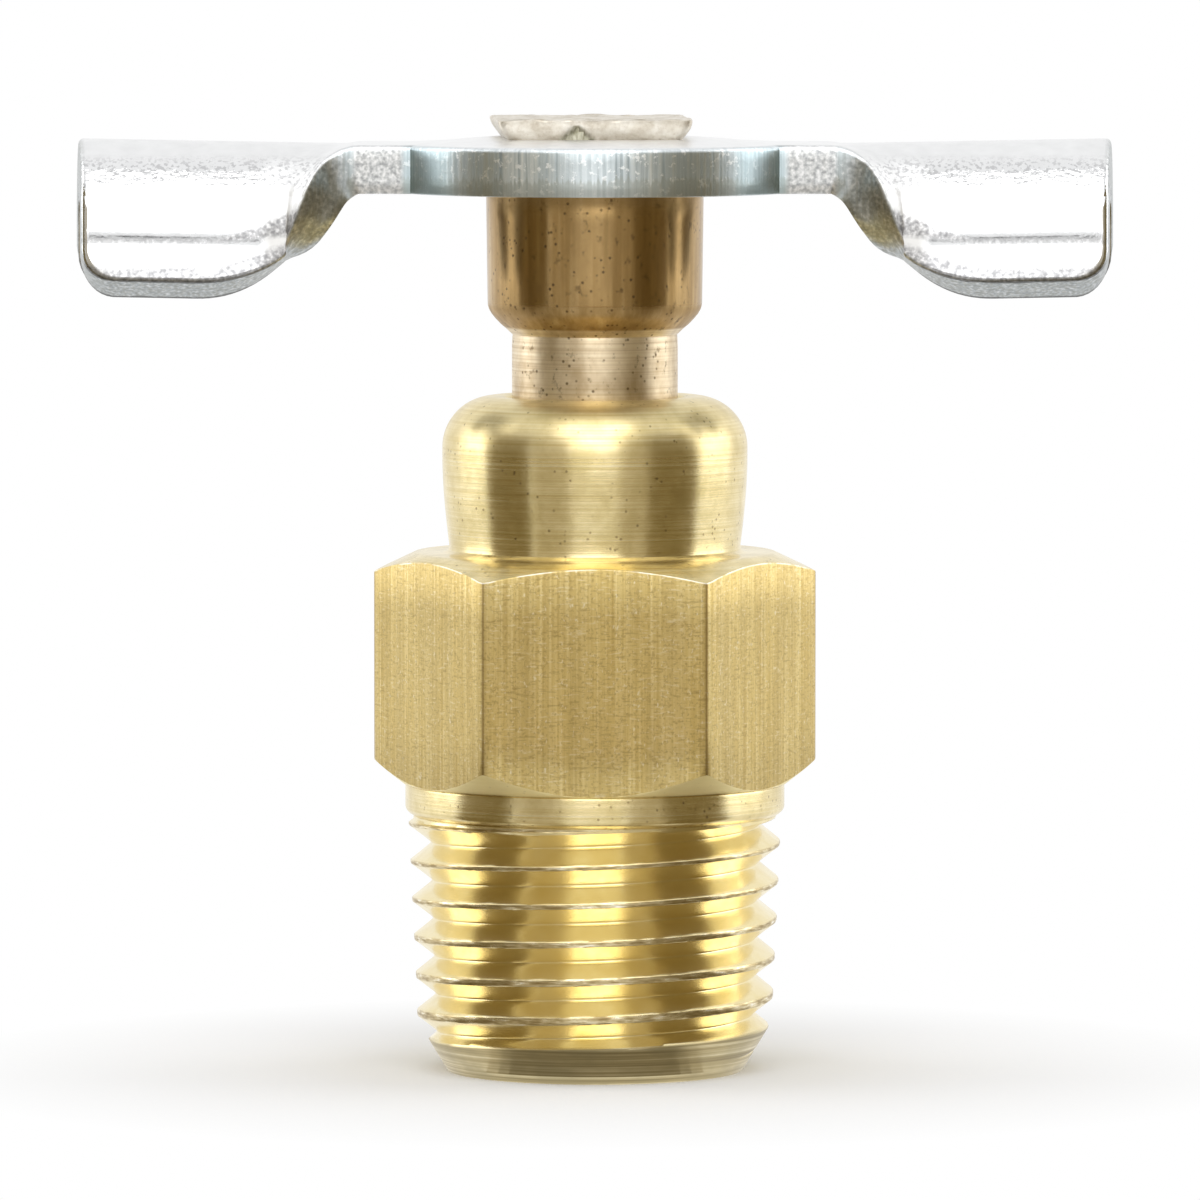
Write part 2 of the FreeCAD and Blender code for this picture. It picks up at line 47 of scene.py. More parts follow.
# Thread
THREAD_PITCH = 1.411
THREAD_START = 4.25
THREAD_TOP = 9.5
THREAD_TURNS = range(-5, 5)
ROOT_FLAT = 0.06
ROOT_SOFTNESS = 0.05
ROOT_RADIUS = 6.1
ROOT_LEVEL = 8.6
TAPER_RUN = 32.0
FLANK_SLOPE = 1.28
CREST_LOW_RADIUS = 6.59
CREST_HIGH_RADIUS = 6.94
CREST_HIGH_LEVEL = 9.6
CREST_SCUFF = 0.018
CREST_ROUNDING = 0.012
END_FACE_RADIUS = 5.5
END_CHAMFER_TOP = 1.8
RUNOUT_RADIUS = 6.75
RUNOUT_START = 9.26
RUNOUT_END = 9.44

# Collar, hexagon and dome
COLLAR_RADIUS = 7.05
HEX_BOTTOM = 10.7
HEX_TOP = 19.3
HEX_APOTHEM = 7.145
HEX_CORNER_RADIUS = 8.2
HEX_BOTTOM_CIRCLE = 7.1
HEX_BOTTOM_SLOPE = 0.78
HEX_TOP_CIRCLE = 6.7
HEX_TOP_SLOPE = 0.47
FLAT_INNER_RADIUS = 6.9
EDGE_BREAK = 0.06
EDGE_SETBACK = 0.012
# Reach and height of the burr's painted highlight along the flats' top edge.
BURR_HIGHLIGHT_REACH = 0.018
BURR_HIGHLIGHT_HEIGHT = 0.01
# Width of the painted shadow line along the hexagon's corners.
CORNER_SHADOW_REACH = 0.03
DOME_TOP = 25.1
DOME_RADIUS = 5.665
DOME_EDGE = 1.9

# Stem
TIP_LEVEL = 3.442
TANG_HALF = 2.8
HOLE_HALF = 2.85
SQUARE_POWER = 24.0
HEAD_POWER = 26.0
HEAD_TURN = math.radians(3.0)
HEAD_SHIFT = 0.15
HEAD_HEIGHT = 1.0
HEAD_BASE_HALF = 3.15
CROWN_HALF = 3.38
DRAIN_MOUTH_RADIUS = 1.95
DRAIN_BEVEL_RADIUS = 1.4
DRAIN_RADIUS = 1.3
DRAIN_BOTTOM = 6.54

# Handle
PLATE_BOTTOM = 32.675
PLATE_TOP = 34.475
PLATE_HALF = (PLATE_TOP - PLATE_BOTTOM) / 2
PLATE_MIDDLE = (PLATE_TOP + PLATE_BOTTOM) / 2
HUB_RADIUS = 7.39
HUB_RISE = 0.2
NECK_HALF = 2.9
NECK_REACH = 8.7
BEND_REACH = 11.34
WIDEN_REACH = 9.65
WIDEN_SOFTNESS = 0.2
FINE_REACH = 12.6
FLAP_REACH = 14.74
WING_REACH = 19.13
WING_SLANT = math.tan(math.radians(4.0))
RISE_REACH = 9.2
WING_RISE = 0.18 / (WING_REACH - RISE_REACH)
FLAP_HALF_WIDTH = 6.07
WIDENING_POWER = 2.2
CROWN_MIDDLE = 3.5 - PLATE_HALF
CROWN_END = CROWN_MIDDLE * math.radians(89.0)
FLARE_MIDDLE = 8.0
LIP_START = 5.1
LIP_MIDDLE = 3.6
LIP_CORNER = 1.3
INNER_LEAN = 0.85
OUTER_LEAN = 0.55
TOP_ROUND = 0.2
TOP_ROUND_STEPS = 4
LOW_ROUND = 0.06
STRIP_HALF = 36
STRIP_SHARES = [step / STRIP_HALF for step in range(-STRIP_HALF, STRIP_HALF + 1)]
HUB_ARC_COUNT = 56


# Shared mesh tools

def smooth(low, high, value):
    share = min(max((value - low) / (high - low), 0.0), 1.0)
    return share * share * (3.0 - 2.0 * share)


def mix(first, second, share):
    return first + (second - first) * share


def rough(x, y, z, scale):
    """Smooth noise of about -1 to 1 at a point in millimetres; scale is in features a millimetre."""
    return noise.noise(Vector((x, y, z)) * scale)


def column_angles():
    return [2.0 * math.pi * column / COLUMNS for column in range(COLUMNS)]


def add_turned_vert(bm, radius, angle, height):
    return bm.verts.new((radius * math.cos(angle) * MM, radius * math.sin(angle) * MM, height * MM))


def add_ring(bm, row):
    """A ring of vertices from (radius, height), or from a function of the angle that gives them."""
    ring = []
    for angle in column_angles():
        radius, height = row(angle) if callable(row) else row
        ring.append(add_turned_vert(bm, radius, angle, height))
    return ring


def neighbours(ring):
    """Each vertex of a closed ring with the one after it."""
    return zip(ring, ring[1:] + ring[:1])


def join_rings(bm, lower, upper):
    for (low, low_next), (high, high_next) in zip(neighbours(lower), neighbours(upper)):
        bm.faces.new((low, low_next, high_next, high))


def add_rings(bm, rows):
    rings = [add_ring(bm, row) for row in rows]
    for lower, upper in zip(rings, rings[1:]):
        join_rings(bm, lower, upper)
    return rings


def close_ring(bm, ring, height):
    tip = bm.verts.new((0.0, 0.0, height * MM))
    for vert, after in neighbours(ring):
        bm.faces.new((vert, after, tip))


def ring_edges(bm, ring):
    return [bm.edges.get(pair) for pair in neighbours(ring)]


def float_layers(bm, *names):
    for name in names:
        bm.verts.layers.float.new(name)
    return [bm.verts.layers.float[name] for name in names]


def add_object(name, data):
    made = bpy.data.objects.new(name, data)
    bpy.context.scene.collection.objects.link(made)
    return made


def mesh_object(bm, name):
    mesh = bpy.data.meshes.new(name)
    bm.to_mesh(mesh)
    bm.free()
    return add_object(name, mesh)


def finish_piece(bm, name, sharp_deg):
    bmesh.ops.remove_doubles(bm, verts=bm.verts, dist=1e-7)
    bmesh.ops.recalc_face_normals(bm, faces=bm.faces)
    piece = mesh_object(bm, name)
    piece.data.shade_smooth()
    piece.data.set_sharp_from_angle(angle=math.radians(sharp_deg))
    return piece


# Body

def crest_radius(z):
    share = (z - END_CHAMFER_TOP) / (CREST_HIGH_LEVEL - END_CHAMFER_TOP)
    return mix(CREST_LOW_RADIUS, CREST_HIGH_RADIUS, share)


def root_radius(z):
    return ROOT_RADIUS + (z - ROOT_LEVEL) / TAPER_RUN


def chamfer_radius(z):
    return mix(END_FACE_RADIUS, CREST_LOW_RADIUS, z / END_CHAMFER_TOP)


def crest_half_width(z):
    rise = crest_radius(z) - root_radius(z)
    return THREAD_PITCH / 2 - ROOT_FLAT / 2 - rise / FLANK_SLOPE


def thread_offsets(z):
    """Distances from a crest's middle at which the thread's rows run, over one pitch."""
    half_crest = crest_half_width(z)
    root = THREAD_PITCH / 2
    foot = root - ROOT_FLAT / 2
    rising = [half_crest * share for share in (0.0, 0.5, 0.85)]
    rising += [mix(half_crest, foot, share) for share in (0.0, 0.06, 0.2, 0.36, 0.52, 0.68, 0.84, 0.96)]
    rising += [mix(foot, root, share) for share in (0.1, 0.5)]
    falling = [THREAD_PITCH - distance for distance in reversed(rising[1:])]
    return rising + [root] + falling


def thread_radius(distance, z, angle):
    """Radius at a distance from a crest's middle: cut, scuffed, bevelled at the end and run out above."""
    away = min(distance, THREAD_PITCH - distance)
    flank = THREAD_PITCH / 2 - away - ROOT_FLAT / 2
    cut = root_radius(z) + (flank + math.hypot(flank, ROOT_SOFTNESS)) / 2 * FLANK_SLOPE
    reach, features = 7.0, 2.4
    scuff = CREST_SCUFF * rough(reach * math.cos(angle), reach * math.sin(angle), z, features)
    rounding = CREST_ROUNDING * smooth(0.5, 1.1, away / max(crest_half_width(z), 0.05))
    sharp = min(cut, crest_radius(z) + scuff - rounding)
    trimmed = min(sharp, chamfer_radius(z))
    return mix(trimmed, RUNOUT_RADIUS, smooth(RUNOUT_START, RUNOUT_END, z))


def add_thread_row(bm, turn, index, crest_layer, bevel_layer):
    """One row of vertices along the helix, marked on the crests and on the end bevel."""
    row = []
    for angle in column_angles():
        level = THREAD_START + THREAD_PITCH * (turn + angle / (2.0 * math.pi))
        distance = thread_offsets(level)[index]
        z = level + distance
        radius = thread_radius(distance, z, angle)
        vert = add_turned_vert(bm, radius, angle, z)
        away = min(distance, THREAD_PITCH - distance)
        on_bevel = smooth(-0.05, 0.0, radius - chamfer_radius(z))
        vert[crest_layer] = 1.0 - smooth(0.75, 1.4, away / crest_half_width(level))
        vert[bevel_layer] = on_bevel if z < END_CHAMFER_TOP else 0.0
        row.append(vert)
    return row


def add_thread(bm, crest_layer, bevel_layer):
    """Right-handed thread laid along its own helix, so that its crests and roots are clean lines.

    After a full turn, each row runs on into the row one pitch above it.
    """
    per_pitch = len(thread_offsets(0.0))
    rows = [add_thread_row(bm, turn, index, crest_layer, bevel_layer)
            for turn in THREAD_TURNS for index in range(per_pitch)]
    for index in range(len(rows) - 1 - per_pitch):
        lower = rows[index] + rows[index + per_pitch][:1]
        upper = rows[index + 1] + rows[index + per_pitch + 1][:1]
        for column in range(COLUMNS):
            bm.faces.new((lower[column], lower[column + 1], upper[column + 1], upper[column]))
    for row in rows:
        for vert in row:
            if not vert.link_faces:
                bm.verts.remove(vert)
    for level, clear_above in ((0.0, False), (THREAD_TOP, True)):
        everything = list(bm.verts) + list(bm.edges) + list(bm.faces)
        bmesh.ops.bisect_plane(
            bm, geom=everything, dist=1e-8, plane_co=(0.0, 0.0, level * MM), plane_no=(0.0, 0.0, 1.0),
            clear_outer=clear_above, clear_inner=not clear_above)


def boundary_at(bm, level):
    return [edge for edge in bm.edges
            if edge.is_boundary and all(abs(vert.co.z - level * MM) < 1e-7 for vert in edge.verts)]


def flat_radius(angle):
    """Radius of the hexagon's flats, with corners left from the turned bar."""
    sixth = math.pi / 3.0
    from_middle = (angle - math.pi / 2.0 + sixth / 2.0) % sixth - sixth / 2.0
    return min(HEX_APOTHEM / math.cos(from_middle), HEX_CORNER_RADIUS)


def bottom_chamfer(radius):
    return HEX_BOTTOM + HEX_BOTTOM_SLOPE * (radius - HEX_BOTTOM_CIRCLE)


def top_chamfer(radius):
    return HEX_TOP - HEX_TOP_SLOPE * (radius - HEX_TOP_CIRCLE)


def flat_row(share, edge_gap):
    """A row on the flats, at a share of their height between places a gap inside the chamfers."""

    def row(angle):
        radius = flat_radius(angle)
        level = mix(bottom_chamfer(radius) + edge_gap, top_chamfer(radius) - edge_gap, share)
        return radius - (EDGE_SETBACK if edge_gap == 0.0 else 0.0), level

    return row


def chamfer_row(share, at_top):
    def row(angle):
        radius = flat_radius(angle)
        if at_top:
            reach = mix(radius, HEX_TOP_CIRCLE, share)
            return reach, top_chamfer(reach)
        reach = mix(HEX_BOTTOM_CIRCLE, radius, share)
        return reach, bottom_chamfer(reach)

    return row


def on_flat_edge(place):
    """Whether a point in millimetres is on the edge between a flat and the top chamfer."""
    radius = place.xy.length
    outermost = radius > flat_radius(math.atan2(place.y, place.x)) - BURR_HIGHLIGHT_REACH
    return outermost and abs(place.z - top_chamfer(radius)) < BURR_HIGHLIGHT_HEIGHT


def collar_rows():
    rows = [(RUNOUT_RADIUS, THREAD_TOP + 0.02), (6.79, 9.56), (6.9, 9.62), (7.0, 9.72), (7.04, 9.8)]
    rows += [(COLLAR_RADIUS, level) for level in (9.88, 10.2, 10.6)]
    return rows + [(7.045, 10.66), (7.03, HEX_BOTTOM - 0.01), (HEX_BOTTOM_CIRCLE, HEX_BOTTOM)]


def hexagon_rows():
    rows = [chamfer_row(share, False) for share in (0.5, 0.93)]
    rows += [flat_row(0.0, 0.0), flat_row(0.0, EDGE_BREAK)]
    rows += [flat_row(share, EDGE_BREAK) for share in (0.2, 0.4, 0.6, 0.8)]
    rows += [flat_row(1.0, EDGE_BREAK), flat_row(1.0, 0.0)]
    return rows + [chamfer_row(share, True) for share in (0.05, 0.35, 0.7, 1.0)]


def dome_rows():
    """Soft foot, slow swell, rounded shoulder and the rim rolled in round the stem."""
    foot, foot_level, swell_level = 5.41, 19.56, 22.9
    rows = [(6.3, 19.31), (5.75, 19.31), (5.55, 19.34), (5.44, 19.42), (foot, foot_level)]
    for share in (0.15, 0.3, 0.45, 0.6, 0.75, 0.9, 1.0):
        radius = mix(foot, DOME_RADIUS, math.sin(share * math.pi / 2))
        rows.append((radius, mix(foot_level, swell_level, share)))
    steps = 16
    for step in range(steps + 1):
        turn = math.pi / 2 * step / steps
        radius = DOME_RADIUS - DOME_EDGE + DOME_EDGE * math.cos(turn)
        rows.append((radius, DOME_TOP - DOME_EDGE + DOME_EDGE * math.sin(turn)))
    return rows + [(3.5, 25.09), (3.36, 25.05), (3.28, 24.96)]


def bore_rows():
    """Rim hole, screw bore, seal bore, seat, orifice and inlet, down to the end face."""
    rim, screw, seal, orifice, inlet = 3.25, 4.0, 3.2, 1.8, 3.5
    rows = [(rim, 24.85), (rim, 23.7), (screw, 23.7), (screw, 13.7), (seal, 12.9), (seal, 5.4)]
    return rows + [(orifice, 4.0), (orifice, 3.0), (inlet, 3.0), (inlet, 0.18), (3.62, 0.0), (4.6, 0.0)]


def build_body():
    bm = bmesh.new()
    crest_layer, bevel_layer, burr_highlight_layer, corner_shadow_layer = float_layers(bm, "crest", "bevel", "edge_line", "corner")
    add_thread(bm, crest_layer, bevel_layer)
    ends = [boundary_at(bm, 0.0), boundary_at(bm, THREAD_TOP)]
    rings = add_rings(bm, collar_rows() + hexagon_rows() + dome_rows() + bore_rows())
    bmesh.ops.bridge_loops(bm, edges=ends[1] + ring_edges(bm, rings[0]))
    bmesh.ops.bridge_loops(bm, edges=ends[0] + ring_edges(bm, rings[-1]))
    for vert in bm.verts:
        # Marks the flats' top edge, where the burr is painted as a bright highlight.
        vert[burr_highlight_layer] = 1.0 if on_flat_edge(vert.co / MM) else 0.0
        # The corner layer marks where a painted shadow line runs along the hexagon's corners.
        vert[corner_shadow_layer] = 1.0 if vert.co.xy.length > (HEX_CORNER_RADIUS - CORNER_SHADOW_REACH) * MM else 0.0
    return finish_piece(bm, "valve_body_threaded", 32.0)


# Stem

def square_radius(angle, half, power):
    """Radius of a square with slightly soft corners, turned as the tang is."""
    turned = angle - HEAD_TURN
    spread = abs(math.cos(turned)) ** power + abs(math.sin(turned)) ** power
    return half / spread ** (1.0 / power)


def unspread(x, y, height):
    """How far a point of the head lies in the small unspread triangle low on its front face."""
    if y > -2.0:
        return 0.0
    return smooth(0.0, 0.1, 0.78 - height - 0.8 * abs(x + 0.52))


def head_row(half, height):
    """One level of the hammered head: a torn square, set back where the metal did not spread."""

    def row(angle):
        radius = square_radius(angle, half, HEAD_POWER)
        x = radius * math.cos(angle)
        y = radius * math.sin(angle)
        lump = 0.07 * rough(x, y, height, 0.7) + 0.02 * rough(x + 9.0, y, height, 2.6)
        set_back = unspread(x, y, height)
        radius += lump * smooth(0.0, 0.3, height) * (1.0 - set_back)
        radius -= set_back * 0.55 * max(0.0, half - HEAD_BASE_HALF)
        torn = 0.06 * rough(x, y, 3.0, 0.8) + 0.05 * rough(x, y, 7.0, 2.1)
        rise = torn * smooth(0.4, 0.9, height)
        return radius, min(PLATE_TOP + height + rise, PLATE_TOP + HEAD_HEIGHT)

    return row


def crown_row(share):
    """The head's torn top, from its edge in to the drain hole's bevel."""

    def row(angle):
        outer = square_radius(angle, CROWN_HALF, SQUARE_POWER)
        radius = mix(outer, DRAIN_MOUTH_RADIUS, share)
        x = radius * math.cos(angle)
        y = radius * math.sin(angle)
        rise = 0.05 * rough(x, y, 5.0, 1.1) + 0.025 * rough(x, y, 8.0, 3.0)
        return radius, min(PLATE_TOP + 0.95 - 0.1 * share + rise, PLATE_TOP + HEAD_HEIGHT)

    return row


def tang_row(level):
    return lambda angle: (square_radius(angle, TANG_HALF, SQUARE_POWER), level)


def shank_rows():
    """Conical tip, seal groove, screw section and neck."""
    tip, shank, land, groove, screw, neck = 1.2, 2.6, 3.15, 2.25, 3.95, 3.075
    rows = [(tip, TIP_LEVEL), (shank, 4.842), (shank, 8.042), (land, 8.042), (land, 8.742), (groove, 8.742)]
    rows += [(groove, 9.842), (land, 9.842), (land, 13.2), (screw, 14.0), (screw, 20.6), (neck, 20.6)]
    return rows + [(neck, level) for level in (24.0, 25.5, 27.0)]


def upper_rows():
    """The cone and rounded step from the neck to the wide upper section, up to the plate."""
    rows = [(3.06, 27.3), (3.05, 27.38), (3.1, 27.43), (3.3, 27.62), (3.42, 27.72), (3.45, 27.745)]
    rows += [(3.5, 27.79), (3.7, 28.0), (3.83, 28.16), (3.92, 28.32), (3.965, 28.46)]
    rows += [(mix(3.98, 4.035, share), mix(28.6, 32.5, share)) for share in (0.0, 0.25, 0.5, 0.75, 1.0)]
    return rows + [(4.0, 32.62), (3.93, 32.67), (3.86, PLATE_BOTTOM)]


def head_rows():
    """The tang through the plate, the hammered head and the drain hole down its middle."""
    rows = [tang_row(PLATE_BOTTOM), tang_row(PLATE_TOP - 0.02)]
    sizes = ((3.05, 0.0), (3.14, 0.08), (3.25, 0.22), (3.36, 0.36), (3.46, 0.5), (3.54, 0.63), (3.58, 0.74),
             (3.6, 0.84), (3.6, 0.9), (3.57, 0.935), (3.5, 0.95), (3.42, 0.955))
    rows += [head_row(half, height) for half, height in sizes]
    rows += [crown_row(share) for share in (0.0, 0.1, 0.22, 0.36, 0.5, 0.64, 0.78, 0.9, 1.0)]
    rows += [(1.75, 35.28), (1.5, 35.05), (1.32, 34.88)]
    return rows + [(DRAIN_RADIUS, 34.8), (DRAIN_RADIUS, DRAIN_BOTTOM)]


def build_stem():
    bm = bmesh.new()
    rings = add_rings(bm, shank_rows() + upper_rows() + head_rows())
    close_ring(bm, rings[0], TIP_LEVEL)
    close_ring(bm, rings[-1], DRAIN_BOTTOM)
    patch_layer = bm.verts.layers.float.new("patch")
    for vert in bm.verts:
        x, y, z = vert.co / MM
        vert.co.x -= HEAD_SHIFT * smooth(0.0, 0.2, z - PLATE_TOP) * MM
        vert[patch_layer] = unspread(x, y, z - PLATE_TOP) if z > PLATE_TOP - 0.1 else 0.0
    return finish_piece(bm, "valve_stem_headed", 38.0)


# Handle

def half_width_at(reach, run_left):
    """Half width of the plate; it leaves the neck in a soft corner and is rounded at the lip's outer end."""

    def along(place):
        past = place - WIDEN_REACH
        return (past + math.hypot(past, WIDEN_SOFTNESS)) / 2

    start = along(NECK_REACH)
    left = max(1.0 - max(along(reach) - start, 0.0) / (along(FLAP_REACH) - start), 0.0)
    width = NECK_HALF + (FLAP_HALF_WIDTH - NECK_HALF) * (1.0 - left ** WIDENING_POWER)
    if run_left is not None and run_left < LIP_CORNER:
        inside = LIP_CORNER - run_left
        width -= LIP_CORNER - math.sqrt(max(LIP_CORNER ** 2 - inside ** 2, 0.0))
    return width


def middle_point(reach, run_left, across):
    """Point in the middle of the plate, below the flat hub's middle, at a share across the wing.

    The plate curves down over the crown, turns out a little below it and flares along the lip.
    """
    bend = smooth(NECK_REACH, BEND_REACH, reach)
    distance = half_width_at(reach, run_left) * abs(across)
    y = drop = slope = 0.0
    stretches = ((0.0, CROWN_END, bend / CROWN_MIDDLE), (CROWN_END, LIP_START, -bend / FLARE_MIDDLE),
                 (LIP_START, distance, -bend / LIP_MIDDLE))
    for start, end, curvature in stretches:
        run = min(distance, end) - start
        if run <= 0.0:
            continue
        turned = slope + curvature * run
        if abs(curvature) < 1e-9:
            y += run * math.cos(slope)
            drop += run * math.sin(slope)
        else:
            y += (math.sin(turned) - math.sin(slope)) / curvature
            drop += (math.cos(slope) - math.cos(turned)) / curvature
        slope = turned
    return Vector((reach, math.copysign(y, across), -drop))


def plate_normal(reach, run_left, across, lean):
    """Direction through the plate, up at the crown; lean is the share that it keeps along the wing."""
    step = 0.001
    outward = Vector((1.0, 0.0, 0.0))
    if run_left is None:
        outward = middle_point(reach + step, None, across) - middle_point(reach - step, None, across)
    sideways = middle_point(reach, run_left, across + step) - middle_point(reach, run_left, across - step)
    square = outward.cross(sideways).normalized()
    return Vector((square.x * lean, square.y, square.z)).normalized()


def wing_stations():
    """(reach, share of the straight run) of the rows across a wing, from the hub out."""
    fine, coarse = 36, 8
    stations = [(reach, None) for reach in (7.6, 8.0, 8.4)]
    stations += [(mix(NECK_REACH, FINE_REACH, step / fine), None) for step in range(fine + 1)]
    stations += [(mix(FINE_REACH, FLAP_REACH, step / coarse), None) for step in range(1, coarse + 1)]
    shares = (0.15, 0.3, 0.45, 0.58, 0.67, 0.72, 0.77, 0.82, 0.86, 0.9, 0.93, 0.955, 0.975, 0.99, 1.0)
    return stations + [(FLAP_REACH, share) for share in shares]


def strip_point(reach, share, across, depth, inset):
    """Point of the plate, from its reach along the wing, its share across it and its depth from the middle.

    The inset draws the plate's whole outline in by a distance.
    """
    run_left = None if share is None else (WING_REACH - FLAP_REACH) * (1.0 - share)
    kept = across * (1.0 - inset / half_width_at(reach, run_left))
    lean = OUTER_LEAN if depth > 0.0 else INNER_LEAN
    point = middle_point(reach, run_left, kept) + plate_normal(reach, run_left, kept, lean) * depth
    if share is not None:
        point.x = mix(FLAP_REACH, WING_REACH + WING_SLANT * point.y - inset, share)
    ridge = PLATE_MIDDLE + max(point.x - RISE_REACH, 0.0) * WING_RISE
    return point.x, point.y, ridge + point.z


def wall_steps():
    """(inset, depth, share of wall) down the plate's edge: rounded above, plain, then barely broken below."""
    steps = []
    for step in range(TOP_ROUND_STEPS + 1):
        turn = math.pi / 2 * step / TOP_ROUND_STEPS
        inset = TOP_ROUND * (1.0 - math.sin(turn))
        steps.append((inset, PLATE_HALF - TOP_ROUND * (1.0 - math.cos(turn)), step / TOP_ROUND_STEPS))
    steps += [(0.0, PLATE_HALF * share, 1.0) for share in (0.4, -0.05, -0.5)]
    steps += [(0.0, LOW_ROUND - PLATE_HALF, 1.0), (LOW_ROUND * 0.3, LOW_ROUND * 0.3 - PLATE_HALF, 0.7)]
    steps.append((LOW_ROUND, -PLATE_HALF, 0.4))
    return steps


def hub_angles():
    """Angles of the hub's columns: those that meet a neck's rows, then the free arc, for both sides."""
    neck = [math.asin(NECK_HALF * share / HUB_RADIUS) for share in STRIP_SHARES]
    start = neck[-1]
    end = math.pi - start
    arc = [mix(start, end, step / HUB_ARC_COUNT) for step in range(1, HUB_ARC_COUNT)]
    first_half = neck + arc
    return first_half + [angle + math.pi for angle in first_half]


def build_handle():
    bm = bmesh.new()
    wall_layer, depth_layer = float_layers(bm, "wall", "depth")
    angles = hub_angles()
    neck_count = len(STRIP_SHARES)
    half_count = len(angles) // 2

    def vert(x, y, z, depth, wall):
        made = bm.verts.new((x * MM, y * MM, z * MM))
        made[wall_layer] = wall
        made[depth_layer] = depth / PLATE_HALF
        return made

    def rim_point(angle, depth, inset):
        radius = HUB_RADIUS - inset
        return radius * math.cos(angle), radius * math.sin(angle), PLATE_MIDDLE + depth

    def hub_sheet(depth, inset, wall):
        """Rings of one face of the hub, from the square hole to the rim."""
        rings = []
        for share in (0.0, 0.25, 0.5, 0.75, 0.93, 1.0):
            ring = []
            for angle in angles:
                radius = mix(square_radius(angle, HOLE_HALF, SQUARE_POWER), HUB_RADIUS - inset, share)
                swell = HUB_RISE * smooth(0.0, 0.8, 1.0 - share) if depth > 0.0 else 0.0
                level = PLATE_MIDDLE + depth + swell
                on_wall = wall if share == 1.0 else 0.0
                ring.append(vert(radius * math.cos(angle), radius * math.sin(angle), level, depth, on_wall))
            rings.append(ring)
        for inner, outer in zip(rings, rings[1:]):
            join_rings(bm, inner, outer)
        return rings[0], rings[-1]

    def wing_sheet(depth, inset, wall, side, first_row):
        """Rows of one face of a wing, carried on from the hub's rim."""
        rows = [first_row]
        for reach, share in wing_stations():
            row = []
            for across in STRIP_SHARES:
                x, y, z = strip_point(reach, share, across * side, depth, inset)
                on_wall = wall if abs(across) == 1.0 or share == 1.0 else 0.0
                row.append(vert(side * x, y, z, depth, on_wall))
            rows.append(row)
        for near, far in zip(rows, rows[1:]):
            for column in range(neck_count - 1):
                bm.faces.new((near[column], far[column], far[column + 1], near[column + 1]))
        return rows

    def face_sheet(depth, inset, wall):
        """Hole loop and outer loop of one face of the handle, in order round the hub and both wings."""
        hole, rim = hub_sheet(depth, inset, wall)
        loop = []
        for side, offset in ((1.0, 0), (-1.0, half_count)):
            rows = wing_sheet(depth, inset, wall, side, rim[offset:offset + neck_count])
            loop += [row[0] for row in rows]
            loop += rows[-1][1:-1]
            loop += [row[-1] for row in reversed(rows)]
            loop += rim[offset + neck_count:offset + half_count]
        return hole, loop

    def edge_loop(depth, inset, wall):
        """Loop of points on the handle's edge, in the same order as a face's outer loop."""
        stations = wing_stations()
        points = []
        for side, offset in ((1.0, 0), (-1.0, half_count)):
            end_row = [(stations[-1], across) for across in STRIP_SHARES[1:-1]]
            course = [(station, -1.0) for station in stations] + end_row
            course += [(station, 1.0) for station in reversed(stations)]
            points.append(rim_point(angles[offset], depth, inset))
            for (reach, share), across in course:
                x, y, z = strip_point(reach, share, across * side, depth, inset)
                points.append((side * x, y, z))
            arc = angles[offset + neck_count - 1:offset + half_count]
            points += [rim_point(angle, depth, inset) for angle in arc]
        return [vert(x, y, z, depth, wall) for x, y, z in points]

    steps = wall_steps()
    top_inset, top_depth, top_wall = steps[0]
    low_inset, low_depth, low_wall = steps[-1]
    top_hole, top_loop = face_sheet(top_depth, top_inset, top_wall)
    low_hole, low_loop = face_sheet(low_depth, low_inset, low_wall)
    join_rings(bm, low_hole, top_hole)
    loops = [top_loop]
    loops += [edge_loop(depth, inset, wall) for inset, depth, wall in steps[1:-1]]
    loops.append(low_loop)
    for upper, lower in zip(loops, loops[1:]):
        join_rings(bm, lower, upper)
    return finish_piece(bm, "wing_handle_formed", 40.0)


# Material nodes

def new_material(name):
    """A new material and the socket of places on its object; other nodes find their tree from a socket."""
    material = bpy.data.materials.new(name)
    material.use_nodes = True
    return material, place_on(material.node_tree)


def node(tree, kind, inputs=None, **settings):
    made = tree.nodes.new(kind)
    for name, value in settings.items():
        setattr(made, name, value)
    for key, value in (inputs or {}).items():
        if isinstance(value, bpy.types.NodeSocket):
            tree.links.new(value, made.inputs[key])
        else:
            made.inputs[key].default_value = value
    return made


def math_node(operation, first, second=0.0):
    tree = (first if isinstance(first, bpy.types.NodeSocket) else second).id_data
    return node(tree, "ShaderNodeMath", {0: first, 1: second}, operation=operation).outputs[0]


def times(first, second):
    return math_node("MULTIPLY", first, second)


def plus(first, second):
    return math_node("ADD", first, second)


def larger(first, second):
    return math_node("MAXIMUM", first, second)


def even(value):
    """Three equal numbers: a grey, or the same scale every way."""
    return (value, value, value)


def ramp(factor, *stops):
    """Colour ramp from stops, each a place and then one grey or a colour's three parts."""
    made = node(factor.id_data, "ShaderNodeValToRGB", {"Fac": factor})
    elements = made.color_ramp.elements
    while len(elements) < len(stops):
        elements.new(0.5)
    for element, (place, *colour) in zip(elements, stops):
        element.position = place
        element.color = (*(colour if len(colour) == 3 else even(*colour)), 1.0)
    return made.outputs["Color"]


def blend(factor, first, second):
    """Mix of two colours by a socket, each colour a socket or three numbers."""
    factor_input, first_input, second_input, colour_output = 0, 6, 7, 2
    inputs = {factor_input: factor}
    for key, colour in ((first_input, first), (second_input, second)):
        inputs[key] = colour if isinstance(colour, bpy.types.NodeSocket) else (*colour, 1.0)
    return node(factor.id_data, "ShaderNodeMix", inputs, data_type="RGBA").outputs[colour_output]


def stain(colour, tint, amount, *stops):
    """Lays a tint over a colour, as strongly as a ramp over an amount says."""
    return blend(ramp(amount, *stops), colour, tint)


